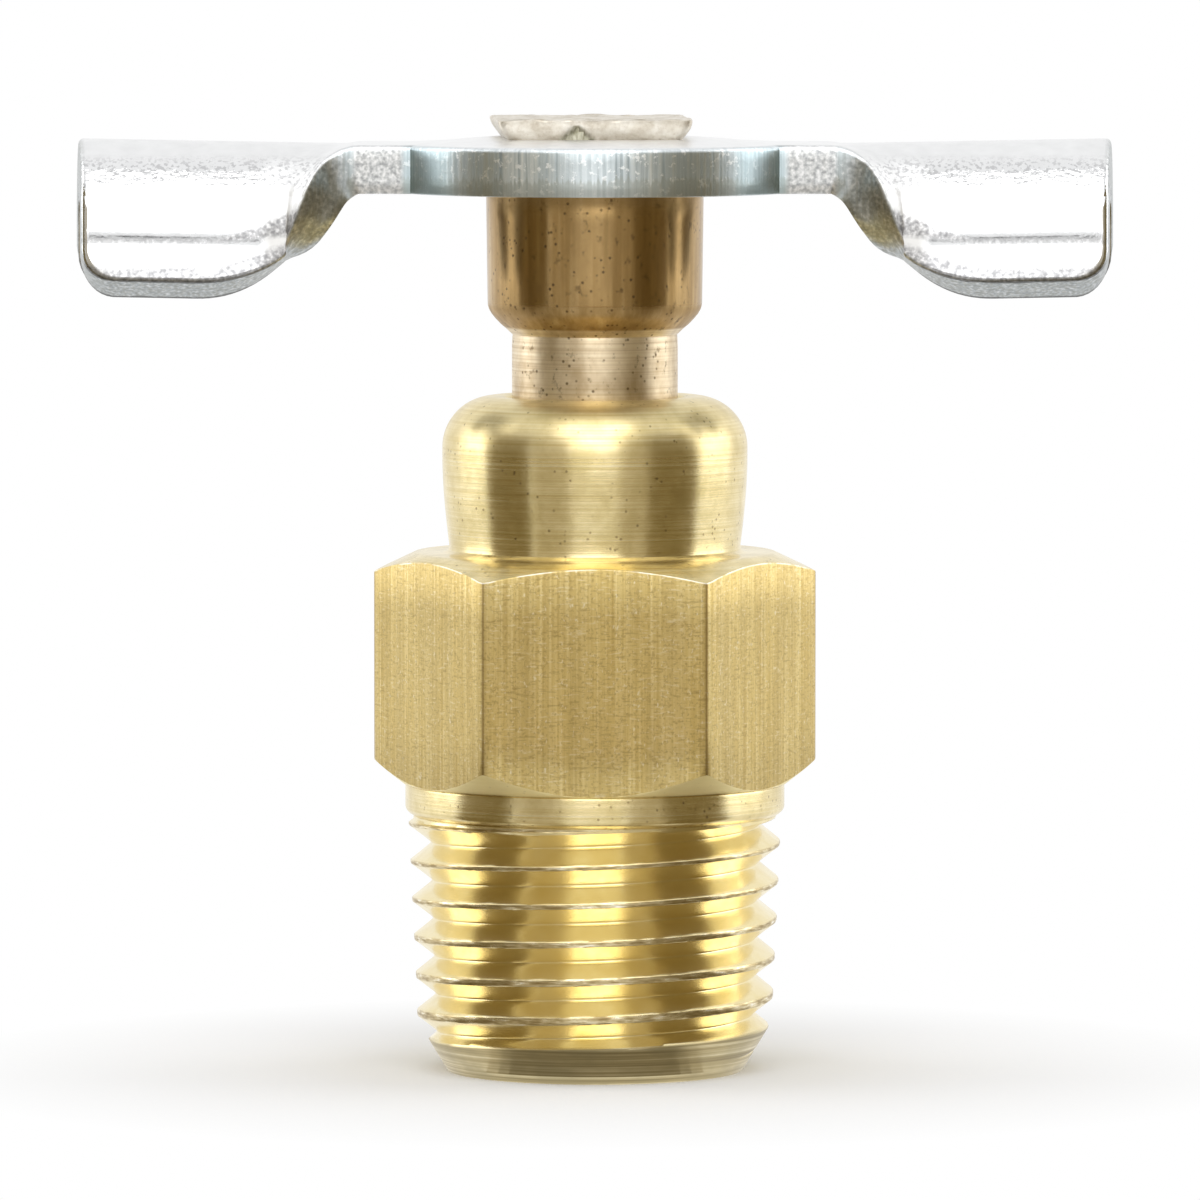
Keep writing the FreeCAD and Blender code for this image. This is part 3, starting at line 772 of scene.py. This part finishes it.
def grain(place, stretch, detail=3.0, hardness=0.55):
    """Noise stretched by its features a metre along x, y and z."""
    tree = place.id_data
    scaled = node(tree, "ShaderNodeVectorMath", {0: place, 1: stretch}, operation="MULTIPLY").outputs[0]
    settings = {"Vector": scaled, "Scale": 1.0, "Detail": detail, "Roughness": hardness}
    return node(tree, "ShaderNodeTexNoise", settings).outputs["Fac"]


def fade(value, start, end):
    """0 up to a start value, rising to 1 at an end value, which may be the lower of the two."""
    limits = {"Value": value, "From Min": start, "From Max": end}
    return node(value.id_data, "ShaderNodeMapRange", limits).outputs[0]


def between(value, low, high, soft):
    """1 between two values, fading over a soft width outside each."""
    return times(fade(value, low - soft, low), fade(value, high + soft, high))


def attribute(material, name):
    return node(material.node_tree, "ShaderNodeAttribute", attribute_name=name).outputs["Fac"]


def place_on(tree):
    return node(tree, "ShaderNodeTexCoord").outputs["Object"]


def axes_of(place):
    return node(place.id_data, "ShaderNodeSeparateXYZ", {0: place}).outputs


def pits(place, scale, threshold):
    """Small round pits, scattered by a second noise."""
    settings = {"Vector": place, "Scale": scale, "Randomness": 1.0}
    cells = node(place.id_data, "ShaderNodeTexVoronoi", settings).outputs["Distance"]
    spots = ramp(cells, (0.10, 1.0), (0.24, 0.0))
    scatter = grain(place, even(scale * 0.31), 2.0)
    return times(spots, ramp(scatter, (threshold, 0.0), (threshold + 0.06, 1.0)))


def dress(material, colour, gloss, relief, strength, depth, metallic=1.0):
    """Gives a material its colour, roughness and metal, and a bump of a strength and a depth in metres."""
    tree = material.node_tree
    shader = tree.nodes["Principled BSDF"]
    height = node(tree, "ShaderNodeBump", {"Height": relief, "Strength": strength, "Distance": depth})
    for name, socket in (("Base Color", colour), ("Roughness", gloss), ("Normal", height.outputs[0])):
        tree.links.new(socket, shader.inputs[name])
    shader.inputs["Metallic"].default_value = metallic
    return material


def brush(material, grain_deg, anisotropy):
    """Spreads a metal's highlights across grain that runs up the part or, turned, round it."""
    tree = material.node_tree
    shader = tree.nodes["Principled BSDF"]
    tangent = node(tree, "ShaderNodeTangent", direction_type="RADIAL", axis="Z").outputs[0]
    tree.links.new(tangent, shader.inputs["Tangent"])
    shader.inputs["Anisotropic"].default_value = anisotropy
    shader.inputs["Anisotropic Rotation"].default_value = grain_deg / 360.0
    return material


def drawn_brass_material():
    """Drawn hexagon flats: upright lines, short dashes, a painted shadow line along the corners and a burr
    painted as a bright, broken highlight.
    """
    material, place = new_material("drawn_brass")
    upright = grain(place, (8500.0, 8500.0, 110.0), 3.0, 0.6)
    broad = grain(place, (1300.0, 1300.0, 90.0), 2.0)
    dashes = grain(place, (2600.0, 2600.0, 14000.0), 2.0, 0.5)
    fleck = grain(place, (8000.0, 8000.0, 3800.0), 2.0, 0.6)
    weave = grain(place, (11000.0, 11000.0, 9000.0), 2.0, 0.6)
    patches = grain(place, even(900.0), 2.0)
    colour = ramp(upright, (0.28, 0.63, 0.46, 0.16), (0.5, 0.74, 0.57, 0.225), (0.72, 0.86, 0.70, 0.34))
    colour = stain(colour, (0.54, 0.41, 0.17), broad, (0.36, 0.35), (0.6, 0.0))
    colour = stain(colour, (0.40, 0.28, 0.10), dashes, (0.30, 0.5), (0.42, 0.0))
    colour = stain(colour, (0.92, 0.82, 0.56), dashes, (0.60, 0.0), (0.70, 0.4))
    colour = stain(colour, (0.46, 0.33, 0.12), weave, (0.32, 0.65), (0.47, 0.0))
    colour = stain(colour, (0.96, 0.88, 0.64), fleck, (0.64, 0.0), (0.74, 0.6))
    # Painted shadow: a thin dark line along each corner of the hexagon.
    colour = stain(colour, (0.24, 0.15, 0.05), attribute(material, "corner"), (0.66, 0.0), (0.86, 0.6))
    # Painted highlight: the burr along the flats' top edge is painted near white, broken into patches.
    edge_line = times(attribute(material, "edge_line"), ramp(patches, (0.44, 0.0), (0.54, 1.0)))
    colour = blend(edge_line, colour, (1.0, 0.97, 0.86))
    gloss = ramp(upright, (0.3, 0.38), (0.7, 0.30))
    dress(material, colour, gloss, plus(upright, dashes), 0.14, 0.00002)
    return brush(material, 0.0, 0.85)


def turned_brass_material():
    """Dome, collar and chamfers, with fine lathe lines round them; the chamfers under the flats are dull."""
    material, place = new_material("turned_brass")
    height = axes_of(place)["Z"]
    turned = grain(place, (45.0, 45.0, 12000.0), 3.0, 0.6)
    mottle = grain(place, even(900.0), 4.0, 0.6)
    ripples = grain(place, (260.0, 260.0, 6000.0), 4.0, 0.65)
    specks = pits(place, 3600.0, 0.50)
    on_shoulder = between(height, 0.0238, 0.0262, 0.0014)
    under_flats = between(height, 0.01078, 0.0117, 0.00006)
    colour = ramp(turned, (0.3, 0.75, 0.61, 0.29), (0.5, 0.84, 0.71, 0.39), (0.7, 0.90, 0.79, 0.49))
    colour = stain(colour, (0.60, 0.48, 0.20), mottle, (0.35, 0.55), (0.6, 0.0))
    colour = blend(times(specks, 0.7), colour, (0.26, 0.18, 0.07))
    colour = blend(times(under_flats, 0.75), colour, (0.98, 0.88, 0.52))
    gloss = blend(on_shoulder, ramp(turned, (0.3, 0.20), (0.7, 0.28)), even(0.32))
    gloss = blend(under_flats, gloss, even(0.55))
    relief = plus(turned, times(mottle, 0.8))
    relief = plus(relief, times(ripples, 2.2))
    dress(material, colour, gloss, relief, 0.2, 0.00002)
    return brush(material, 90.0, 0.6)


def cut_brass_material():
    """Thread: bright flanks, rubbed crests and an end bevel with coarse, dull lathe lines, its colour
    darkened partly as painted shade.
    """
    material, place = new_material("cut_brass")
    mottle = grain(place, even(900.0), 4.0, 0.6)
    rubbed = grain(place, (1400.0, 1400.0, 9000.0), 3.0, 0.6)
    lathe = grain(place, (60.0, 60.0, 9000.0), 3.0, 0.6)
    dull = grain(place, (420.0, 420.0, 900.0), 3.0, 0.6)
    crest = attribute(material, "crest")
    bevel = attribute(material, "bevel")
    flank = ramp(mottle, (0.3, 0.85, 0.71, 0.36), (0.6, 0.90, 0.78, 0.46), (0.8, 0.93, 0.83, 0.56))
    scuffed = ramp(rubbed, (0.34, 0.32, 0.23, 0.10), (0.5, 0.56, 0.45, 0.24), (0.62, 0.82, 0.72, 0.48),
                   (0.7, 0.97, 0.93, 0.82))
    # The end bevel is darker than the flanks: real lathe lines, and partly painted shade of the shadowed
    # floor that it mirrors.
    turned = ramp(lathe, (0.32, 0.28, 0.22, 0.11), (0.5, 0.50, 0.41, 0.22), (0.68, 0.80, 0.70, 0.45))
    turned = stain(turned, (0.32, 0.27, 0.15), dull, (0.4, 0.5), (0.62, 0.0))
    colour = blend(bevel, blend(crest, flank, scuffed), turned)
    flank_gloss = ramp(mottle, (0.3, 0.24), (0.7, 0.16))
    crest_gloss = ramp(rubbed, (0.3, 0.36), (0.7, 0.24))
    bevel_gloss = ramp(lathe, (0.3, 0.42), (0.7, 0.30))
    gloss = blend(bevel, blend(crest, flank_gloss, crest_gloss), bevel_gloss)
    return dress(material, colour, gloss, blend(bevel, rubbed, lathe), 0.08, 0.00002)


def bronze_material():
    """Stem: a pale turned neck and a brown drawn upper section, blotted and pitted."""
    material, place = new_material("turned_bronze")
    height = axes_of(place)["Z"]
    turned = grain(place, (60.0, 60.0, 9000.0), 4.0, 0.6)
    drawn = grain(place, (2600.0, 2600.0, 90.0), 3.0)
    mottle = grain(place, (700.0, 700.0, 420.0), 4.0, 0.6)
    blots = grain(place, (2300.0, 2300.0, 1700.0), 4.0, 0.65)
    holes = pits(place, 3300.0, 0.44)
    on_upper = between(height, 0.0277, 0.034, 0.0001)
    on_step = between(height, 0.0276, 0.0284, 0.0002)
    neck = ramp(turned, (0.3, 0.62, 0.49, 0.32), (0.5, 0.80, 0.67, 0.47), (0.7, 0.88, 0.77, 0.57))
    upper = ramp(drawn, (0.3, 0.36, 0.23, 0.09), (0.55, 0.49, 0.33, 0.145), (0.75, 0.62, 0.45, 0.23))
    colour = blend(on_upper, neck, upper)
    colour = stain(colour, (0.34, 0.22, 0.09), mottle, (0.36, 0.55), (0.58, 0.0))
    colour = stain(colour, (0.15, 0.095, 0.04), blots, (0.30, 0.7), (0.40, 0.0))
    colour = blend(times(holes, 0.8), colour, (0.10, 0.06, 0.025))
    neck_gloss = ramp(turned, (0.3, 0.42), (0.7, 0.32))
    upper_gloss = ramp(mottle, (0.3, 0.26), (0.7, 0.17))
    gloss = blend(on_step, blend(on_upper, neck_gloss, upper_gloss), even(0.42))
    relief = math_node("SUBTRACT", blend(on_upper, turned, drawn), holes)
    return dress(material, colour, gloss, relief, 0.12, 0.00002)


def torn_material():
    """Hammered head: torn and pale, with upright ridges in the triangle that did not spread; the triangle is
    darker, its own surface with painted shade of its recess.
    """
    material, place = new_material("hammered_end")
    coarse = grain(place, even(1500.0), 5.0, 0.65)
    fine = grain(place, (7000.0, 7000.0, 5000.0), 3.0, 0.6)
    ridges = grain(place, (6500.0, 6500.0, 300.0), 2.0)
    patch = attribute(material, "patch")
    torn = ramp(coarse, (0.3, 0.48, 0.42, 0.33), (0.48, 0.66, 0.61, 0.52), (0.68, 0.78, 0.74, 0.66))
    torn = stain(torn, (0.48, 0.40, 0.30), fine, (0.30, 0.3), (0.44, 0.0))
    # The unspread triangle is darker olive: the stem's own surface, darkened further as painted shade of its
    # recess.
    plain = ramp(ridges, (0.35, 0.30, 0.28, 0.19), (0.65, 0.64, 0.62, 0.50))
    gloss = ramp(fine, (0.3, 0.48), (0.7, 0.32))
    relief = blend(patch, plus(coarse, fine), ridges)
    return dress(material, blend(patch, torn, plain), gloss, relief, 0.25, 0.00005, 0.75)


def zinc_grains(place):
    return SimpleNamespace(
        peel=grain(place, even(1500.0), 3.0, 0.55),
        wrinkle=grain(place, (2300.0, 3200.0, 3200.0), 3.0, 0.6),
        fine=grain(place, even(6500.0), 2.0, 0.5),
        streak=grain(place, (6200.0, 6200.0, 170.0), 3.0, 0.6),
        band=grain(place, (420.0, 420.0, 60.0), 2.0),
        sparkle=grain(place, even(3400.0), 3.0, 0.7))


def handle_masks(material, place):
    """Regions of the handle, by its reach from the stem and its height; the lip rises towards the hub."""
    axes = axes_of(place)
    height = axes["Z"]
    reach = math_node("ABSOLUTE", axes["X"])
    lip_reach = 0.0139
    toward_hub = larger(math_node("SUBTRACT", lip_reach, reach), 0.0)

    def height_over(slope):
        return math_node("SUBTRACT", height, times(toward_hub, slope))

    wing = fade(reach, 0.0088, 0.0096)
    # The lip and crease bands are painted grey: partly scrapes, partly painted shade where the curved plate
    # mirrors shadow.
    lip = times(fade(height_over(0.31), 0.0302, 0.0299), wing)
    under_crease = fade(height_over(0.37), 0.03112, 0.0309)
    over_foot = fade(height_over(0.10), 0.0308, 0.0310)
    crease = times(times(under_crease, over_foot), wing)
    hub = fade(reach, 0.0080, 0.0072)
    top = fade(height, 0.0337, 0.0341)
    return SimpleNamespace(
        wall=attribute(material, "wall"),
        depth=attribute(material, "depth"),
        wing=wing,
        neck=between(reach, 0.0072, 0.0088, 0.0002),
        hub_end=between(reach, 0.0055, 0.0067, 0.0005),
        bend=between(reach, 0.0092, 0.0119, 0.0005),
        crown=times(wing, between(height, 0.0330, 0.0337, 0.0004)),
        scraped_and_shaded=larger(lip, crease),
        hub_or_top=larger(hub, top),
        lip_edge=fade(height, 0.0303, 0.0300))


def zinc_face_colour(grains, on):
    """Bright plate, greyed along the lip and its crease, partly as scrapes and partly as painted shade, and
    specked over the crowns.
    """
    scrape_and_shade_grey = ramp(grains.fine, (0.34, 0.22, 0.22, 0.23), (0.5, 0.42, 0.42, 0.43), (0.66, 0.70, 0.70, 0.71))
    plated = ramp(grains.peel, (0.3, 0.80, 0.805, 0.81), (0.7, 0.86, 0.865, 0.87))
    # Scrapes and painted shade: grey over the lip and its crease.
    plated = blend(times(on.scraped_and_shaded, 0.85), plated, scrape_and_shade_grey)
    specks = times(ramp(grains.fine, (0.40, 0.65), (0.50, 0.0)), on.crown)
    return blend(specks, plated, (0.46, 0.46, 0.47))


def hub_edge_colour(grains, on):
    """Sheared edge of the hub: streaked and banded, sparkling, torn dull below and bluer near the necks."""
    sheared = ramp(grains.streak, (0.3, 0.34, 0.39, 0.41), (0.5, 0.60, 0.66, 0.68), (0.7, 0.80, 0.85, 0.86))
    sheared = stain(sheared, (0.40, 0.47, 0.50), grains.band, (0.4, 0.4), (0.6, 0.0))
    sheared = stain(sheared, (0.88, 0.91, 0.92), grains.sparkle, (0.57, 0.0), (0.64, 0.9))
    wander = times(math_node("SUBTRACT", grains.streak, 0.5), 1.2)
    lower = fade(plus(on.depth, wander), -0.25, -0.4)
    sheared = blend(times(lower, 0.55), sheared, (0.36, 0.38, 0.34))
    return blend(times(on.hub_end, 0.45), sheared, (0.44, 0.60, 0.65))


def zinc_edge_colour(grains, on):
    """Sheared edges: the hub's, speckled at the necks, torn on the wings, with a near-black line along the
    lip's top edge.
    """
    fine = grains.fine
    speckled = ramp(fine, (0.32, 0.36, 0.37, 0.38), (0.5, 0.58, 0.59, 0.59), (0.7, 0.82, 0.82, 0.82))
    torn = ramp(fine, (0.32, 0.30, 0.32, 0.33), (0.5, 0.44, 0.47, 0.48), (0.68, 0.62, 0.64, 0.65))
    torn = stain(torn, (0.32, 0.32, 0.28), grains.streak, (0.42, 0.5), (0.56, 0.0))
    edge = blend(on.neck, hub_edge_colour(grains, on), speckled)
    edge = blend(on.wing, edge, torn)
    # A near-black line along the lip's top edge, broken by the peel grain.
    ragged = plus(math_node("ABSOLUTE", on.depth), times(grains.peel, 0.3))
    edge_line = times(fade(ragged, 0.88, 0.95), on.lip_edge)
    return blend(times(edge_line, 0.85), edge, even(0.07))


def zinc_gloss(grains, on):
    """Mirror-bright wings; the lip, the bends and the flat top are duller, and the edges dullest."""
    face = ramp(grains.fine, (0.3, 0.09), (0.7, 0.05))
    for region, roughness in ((on.scraped_and_shaded, 0.28), (on.bend, 0.5), (on.hub_or_top, 0.38)):
        face = blend(region, face, even(roughness))
    return blend(on.wall, face, ramp(grains.streak, (0.3, 0.42), (0.7, 0.30)))


def zinc_material():
    """Bright zinc on stamped steel: wrinkled over the crowns, streaked and speckled on the edges."""
    material, place = new_material("zinc_plate")
    grains = zinc_grains(place)
    on = handle_masks(material, place)
    faces = zinc_face_colour(grains, on)
    colour = blend(on.wall, faces, zinc_edge_colour(grains, on))
    wrinkled = times(times(grains.wrinkle, on.crown), 36.0)
    relief = plus(times(grains.peel, 0.35), wrinkled)
    relief = blend(on.wall, relief, plus(grains.streak, grains.sparkle))
    return dress(material, colour, zinc_gloss(grains, on), relief, 0.12, 0.00005)


def rubber_material():
    material, place = new_material("black_rubber")
    bloom = grain(place, even(1800.0), 4.0, 0.6)
    colour = ramp(bloom, (0.3, 0.012, 0.012, 0.013), (0.7, 0.035, 0.035, 0.036))
    gloss = ramp(bloom, (0.3, 0.5), (0.7, 0.7))
    return dress(material, colour, gloss, bloom, 0.1, 0.00003, 0.0)


# Pieces

def place_body():
    body = build_body()
    turned, drawn, cut = 0, 1, 2
    for finish in (turned_brass_material(), drawn_brass_material(), cut_brass_material()):
        body.data.materials.append(finish)
    for face in body.data.polygons:
        level = face.center.z / MM
        upright = abs(face.normal.z) < 0.2
        outside = face.center.xy.length > FLAT_INNER_RADIUS * MM
        on_flat = HEX_BOTTOM < level < HEX_TOP and upright and outside
        face.material_index = cut if level < THREAD_TOP else drawn if on_flat else turned
    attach(body, "housing")
    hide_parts("valve_body")


def place_stem():
    stem = build_stem()
    bronze, torn = 0, 1
    for finish in (bronze_material(), torn_material()):
        stem.data.materials.append(finish)
    for face in stem.data.polygons:
        on_head = face.center.z > (PLATE_TOP - 0.05) * MM
        outside = face.center.xy.length > DRAIN_BEVEL_RADIUS * MM
        face.material_index = torn if on_head and outside else bronze
    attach(stem, "spindle")
    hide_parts("valve_stem")


def place_handle():
    handle = build_handle()
    handle.data.materials.append(zinc_material())
    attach(handle, "spindle")
    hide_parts("wing_handle")


def finish_ring():
    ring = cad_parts["stem_o_ring"]
    ring.data.materials.clear()
    ring.data.materials.append(rubber_material())


# Studio

STUDIO_MIDDLE = Vector((0.0, 0.0, 0.02))


def direction(azimuth_deg, elevation_deg):
    """Unit vector from the object: azimuth 0 is towards the camera and positive to its right."""
    azimuth = math.radians(azimuth_deg)
    elevation = math.radians(elevation_deg)
    level = math.cos(elevation)
    return Vector((math.sin(azimuth) * level, -math.cos(azimuth) * level, math.sin(elevation)))


def upright_card(azimuths, elevations, distance):
    """Places on a card that stands round the object, from shares across and up it."""

    def place(across, up):
        return direction(mix(*azimuths, across), mix(*elevations, up)) * distance + STUDIO_MIDDLE

    return place


def floor_card(azimuths, reaches):
    """Places on a card that lies on the floor in front of the object or beside it."""
    lift = Vector((0.0, 0.0, 0.0003))
    return lambda across, out: direction(mix(*azimuths, across), 0.0) * mix(*reaches, out) + lift


def emptied_material(name):
    material = bpy.data.materials.new(name)
    material.use_nodes = True
    material.node_tree.nodes.clear()
    return material, material.node_tree


def glow_node(tree, colour):
    return node(tree, "ShaderNodeEmission", {"Color": (*colour, 1.0), "Strength": 1.0}).outputs[0]


def grey_card(name, place, colour):
    """A card that only the object's reflections see."""
    across_count, up_count = 12, 4
    bm = bmesh.new()
    columns = [[bm.verts.new(place(across / across_count, up / up_count)) for up in range(up_count + 1)]
               for across in range(across_count + 1)]
    for left, right in zip(columns, columns[1:]):
        for row in range(up_count):
            bm.faces.new((left[row], right[row], right[row + 1], left[row + 1]))
    card = mesh_object(bm, name)
    material, tree = emptied_material(name)
    node(tree, "ShaderNodeOutputMaterial", {"Surface": glow_node(tree, colour)})
    card.data.materials.append(material)
    card.visible_camera = False
    card.visible_shadow = False
    card.visible_diffuse = False


def soft_light(name, azimuth, elevation, distance, size, power):
    lamp = bpy.data.lights.new(name, "AREA")
    lamp.shape = "RECTANGLE"
    lamp.size, lamp.size_y = size
    lamp.energy = power
    holder = add_object(name, lamp)
    away = direction(azimuth, elevation)
    holder.location = away * distance + STUDIO_MIDDLE
    holder.rotation_euler = away.to_track_quat("Z", "Y").to_euler()


def build_floor():
    """Pale floor: it keeps the shadow near the object, and is white further out and in reflections."""
    bm = bmesh.new()
    bmesh.ops.create_circle(bm, cap_ends=True, segments=64, radius=8.0)
    floor = mesh_object(bm, "floor")
    material, tree = emptied_material("pale_floor")
    reach = node(tree, "ShaderNodeVectorMath", {0: place_on(tree)}, operation="LENGTH").outputs["Value"]
    far = fade(reach, 0.009, 0.026)
    path = node(tree, "ShaderNodeLightPath").outputs
    reflected = larger(path["Is Glossy Ray"], path["Is Transmission Ray"])
    share = larger(times(path["Is Camera Ray"], far), reflected)
    matte = node(tree, "ShaderNodeBsdfDiffuse", {"Color": (*even(0.92), 1.0)}).outputs[0]
    mixed = node(tree, "ShaderNodeMixShader", {0: share, 1: matte, 2: glow_node(tree, even(1.0))}).outputs[0]
    node(tree, "ShaderNodeOutputMaterial", {"Surface": mixed})
    floor.data.materials.append(material)


def build_world():
    world = bpy.data.worlds.new("studio")
    bpy.context.scene.world = world
    world.use_nodes = True
    tree = world.node_tree
    tree.nodes.clear()
    path = node(tree, "ShaderNodeLightPath").outputs
    seen = larger(path["Is Camera Ray"], path["Is Glossy Ray"])
    seen = larger(seen, path["Is Transmission Ray"])
    strength = node(tree, "ShaderNodeMapRange", {"Value": seen, "To Min": 0.55, "To Max": 1.0}).outputs[0]
    sky = node(tree, "ShaderNodeBackground", {"Color": (1.0, 1.0, 1.0, 1.0), "Strength": strength}).outputs[0]
    node(tree, "ShaderNodeOutputWorld", {"Surface": sky})


def build_cards():
    """Cards in front of the object that give its metal the photograph's reflections."""
    facing = (-43.0, 43.0)
    dark = (0.20, 0.155, 0.075)
    middling = (0.50, 0.45, 0.36)
    grey_card("collar_card", upright_card(facing, (-10.9, -9.8), 0.098), (0.22, 0.20, 0.16))
    grey_card("front_floor_card", floor_card(facing, (0.082, 0.097)), (0.30, 0.27, 0.22))
    grey_card("hexagon_card", upright_card((-18.0, 18.0), (-9.8, -6.0), 0.098), (0.60, 0.47, 0.29))
    foot = (0.0048, 0.0096)
    grey_card("foot_card", floor_card((-34.0, 34.0), foot), (0.36, 0.33, 0.27))
    for side in (-1.0, 1.0):
        grey_card("foot_step", floor_card((side * 34.0, side * 39.0), foot), (0.52, 0.49, 0.43))
        grey_card("foot_end", floor_card((side * 39.0, side * 45.0), foot), (0.74, 0.71, 0.65))
    sides = (("left_flag", (-88.0, -49.0), dark), ("right_flag", (40.0, 83.0), dark),
             ("left_card", (-46.0, -18.0), middling), ("right_card", (18.0, 40.0), middling))
    for name, azimuths, colour in sides:
        grey_card(name, upright_card(azimuths, (-10.9, 36.0), 0.10), colour)
        grey_card(name + "_floor", floor_card(azimuths, (0.009, 0.099)), colour)
    for side in (-1.0, 1.0):
        grey_card("horizon_card", upright_card((side * 6.0, side * 15.0), (5.0, 8.6), 0.097), even(0.04))


def build_studio():
    build_floor()
    build_world()
    soft_light("front_softbox", 0.0, 40.0, 0.7, (0.62, 0.95), 2.7)
    soft_light("left_softbox", -102.0, 18.0, 0.6, (0.45, 0.6), 1.2)
    soft_light("right_softbox", 102.0, 18.0, 0.6, (0.45, 0.6), 1.2)
    build_cards()


def build_camera():
    """Camera in front of the cock and a little above it, as in the photograph."""
    distance = 0.42
    height = 0.046
    aim = Vector((0.00019, 0.0, 0.0175))
    pixels_per_metre = 26910.0
    photo_pixels = 1200.0
    sensor = 36.0
    data = bpy.data.cameras.new("camera")
    camera = add_object("camera", data)
    camera.location = (aim.x, -distance, height)
    sight = aim - camera.location
    camera.rotation_euler = sight.to_track_quat("-Z", "Y").to_euler()
    data.sensor_width = sensor
    data.lens = sensor * pixels_per_metre * sight.length / photo_pixels
    data.clip_start = 0.01
    data.clip_end = 30.0
    bpy.context.scene.camera = camera


place_body()
place_stem()
place_handle()
finish_ring()
build_studio()
build_camera()
bpy.context.scene.view_settings.view_transform = "Standard"
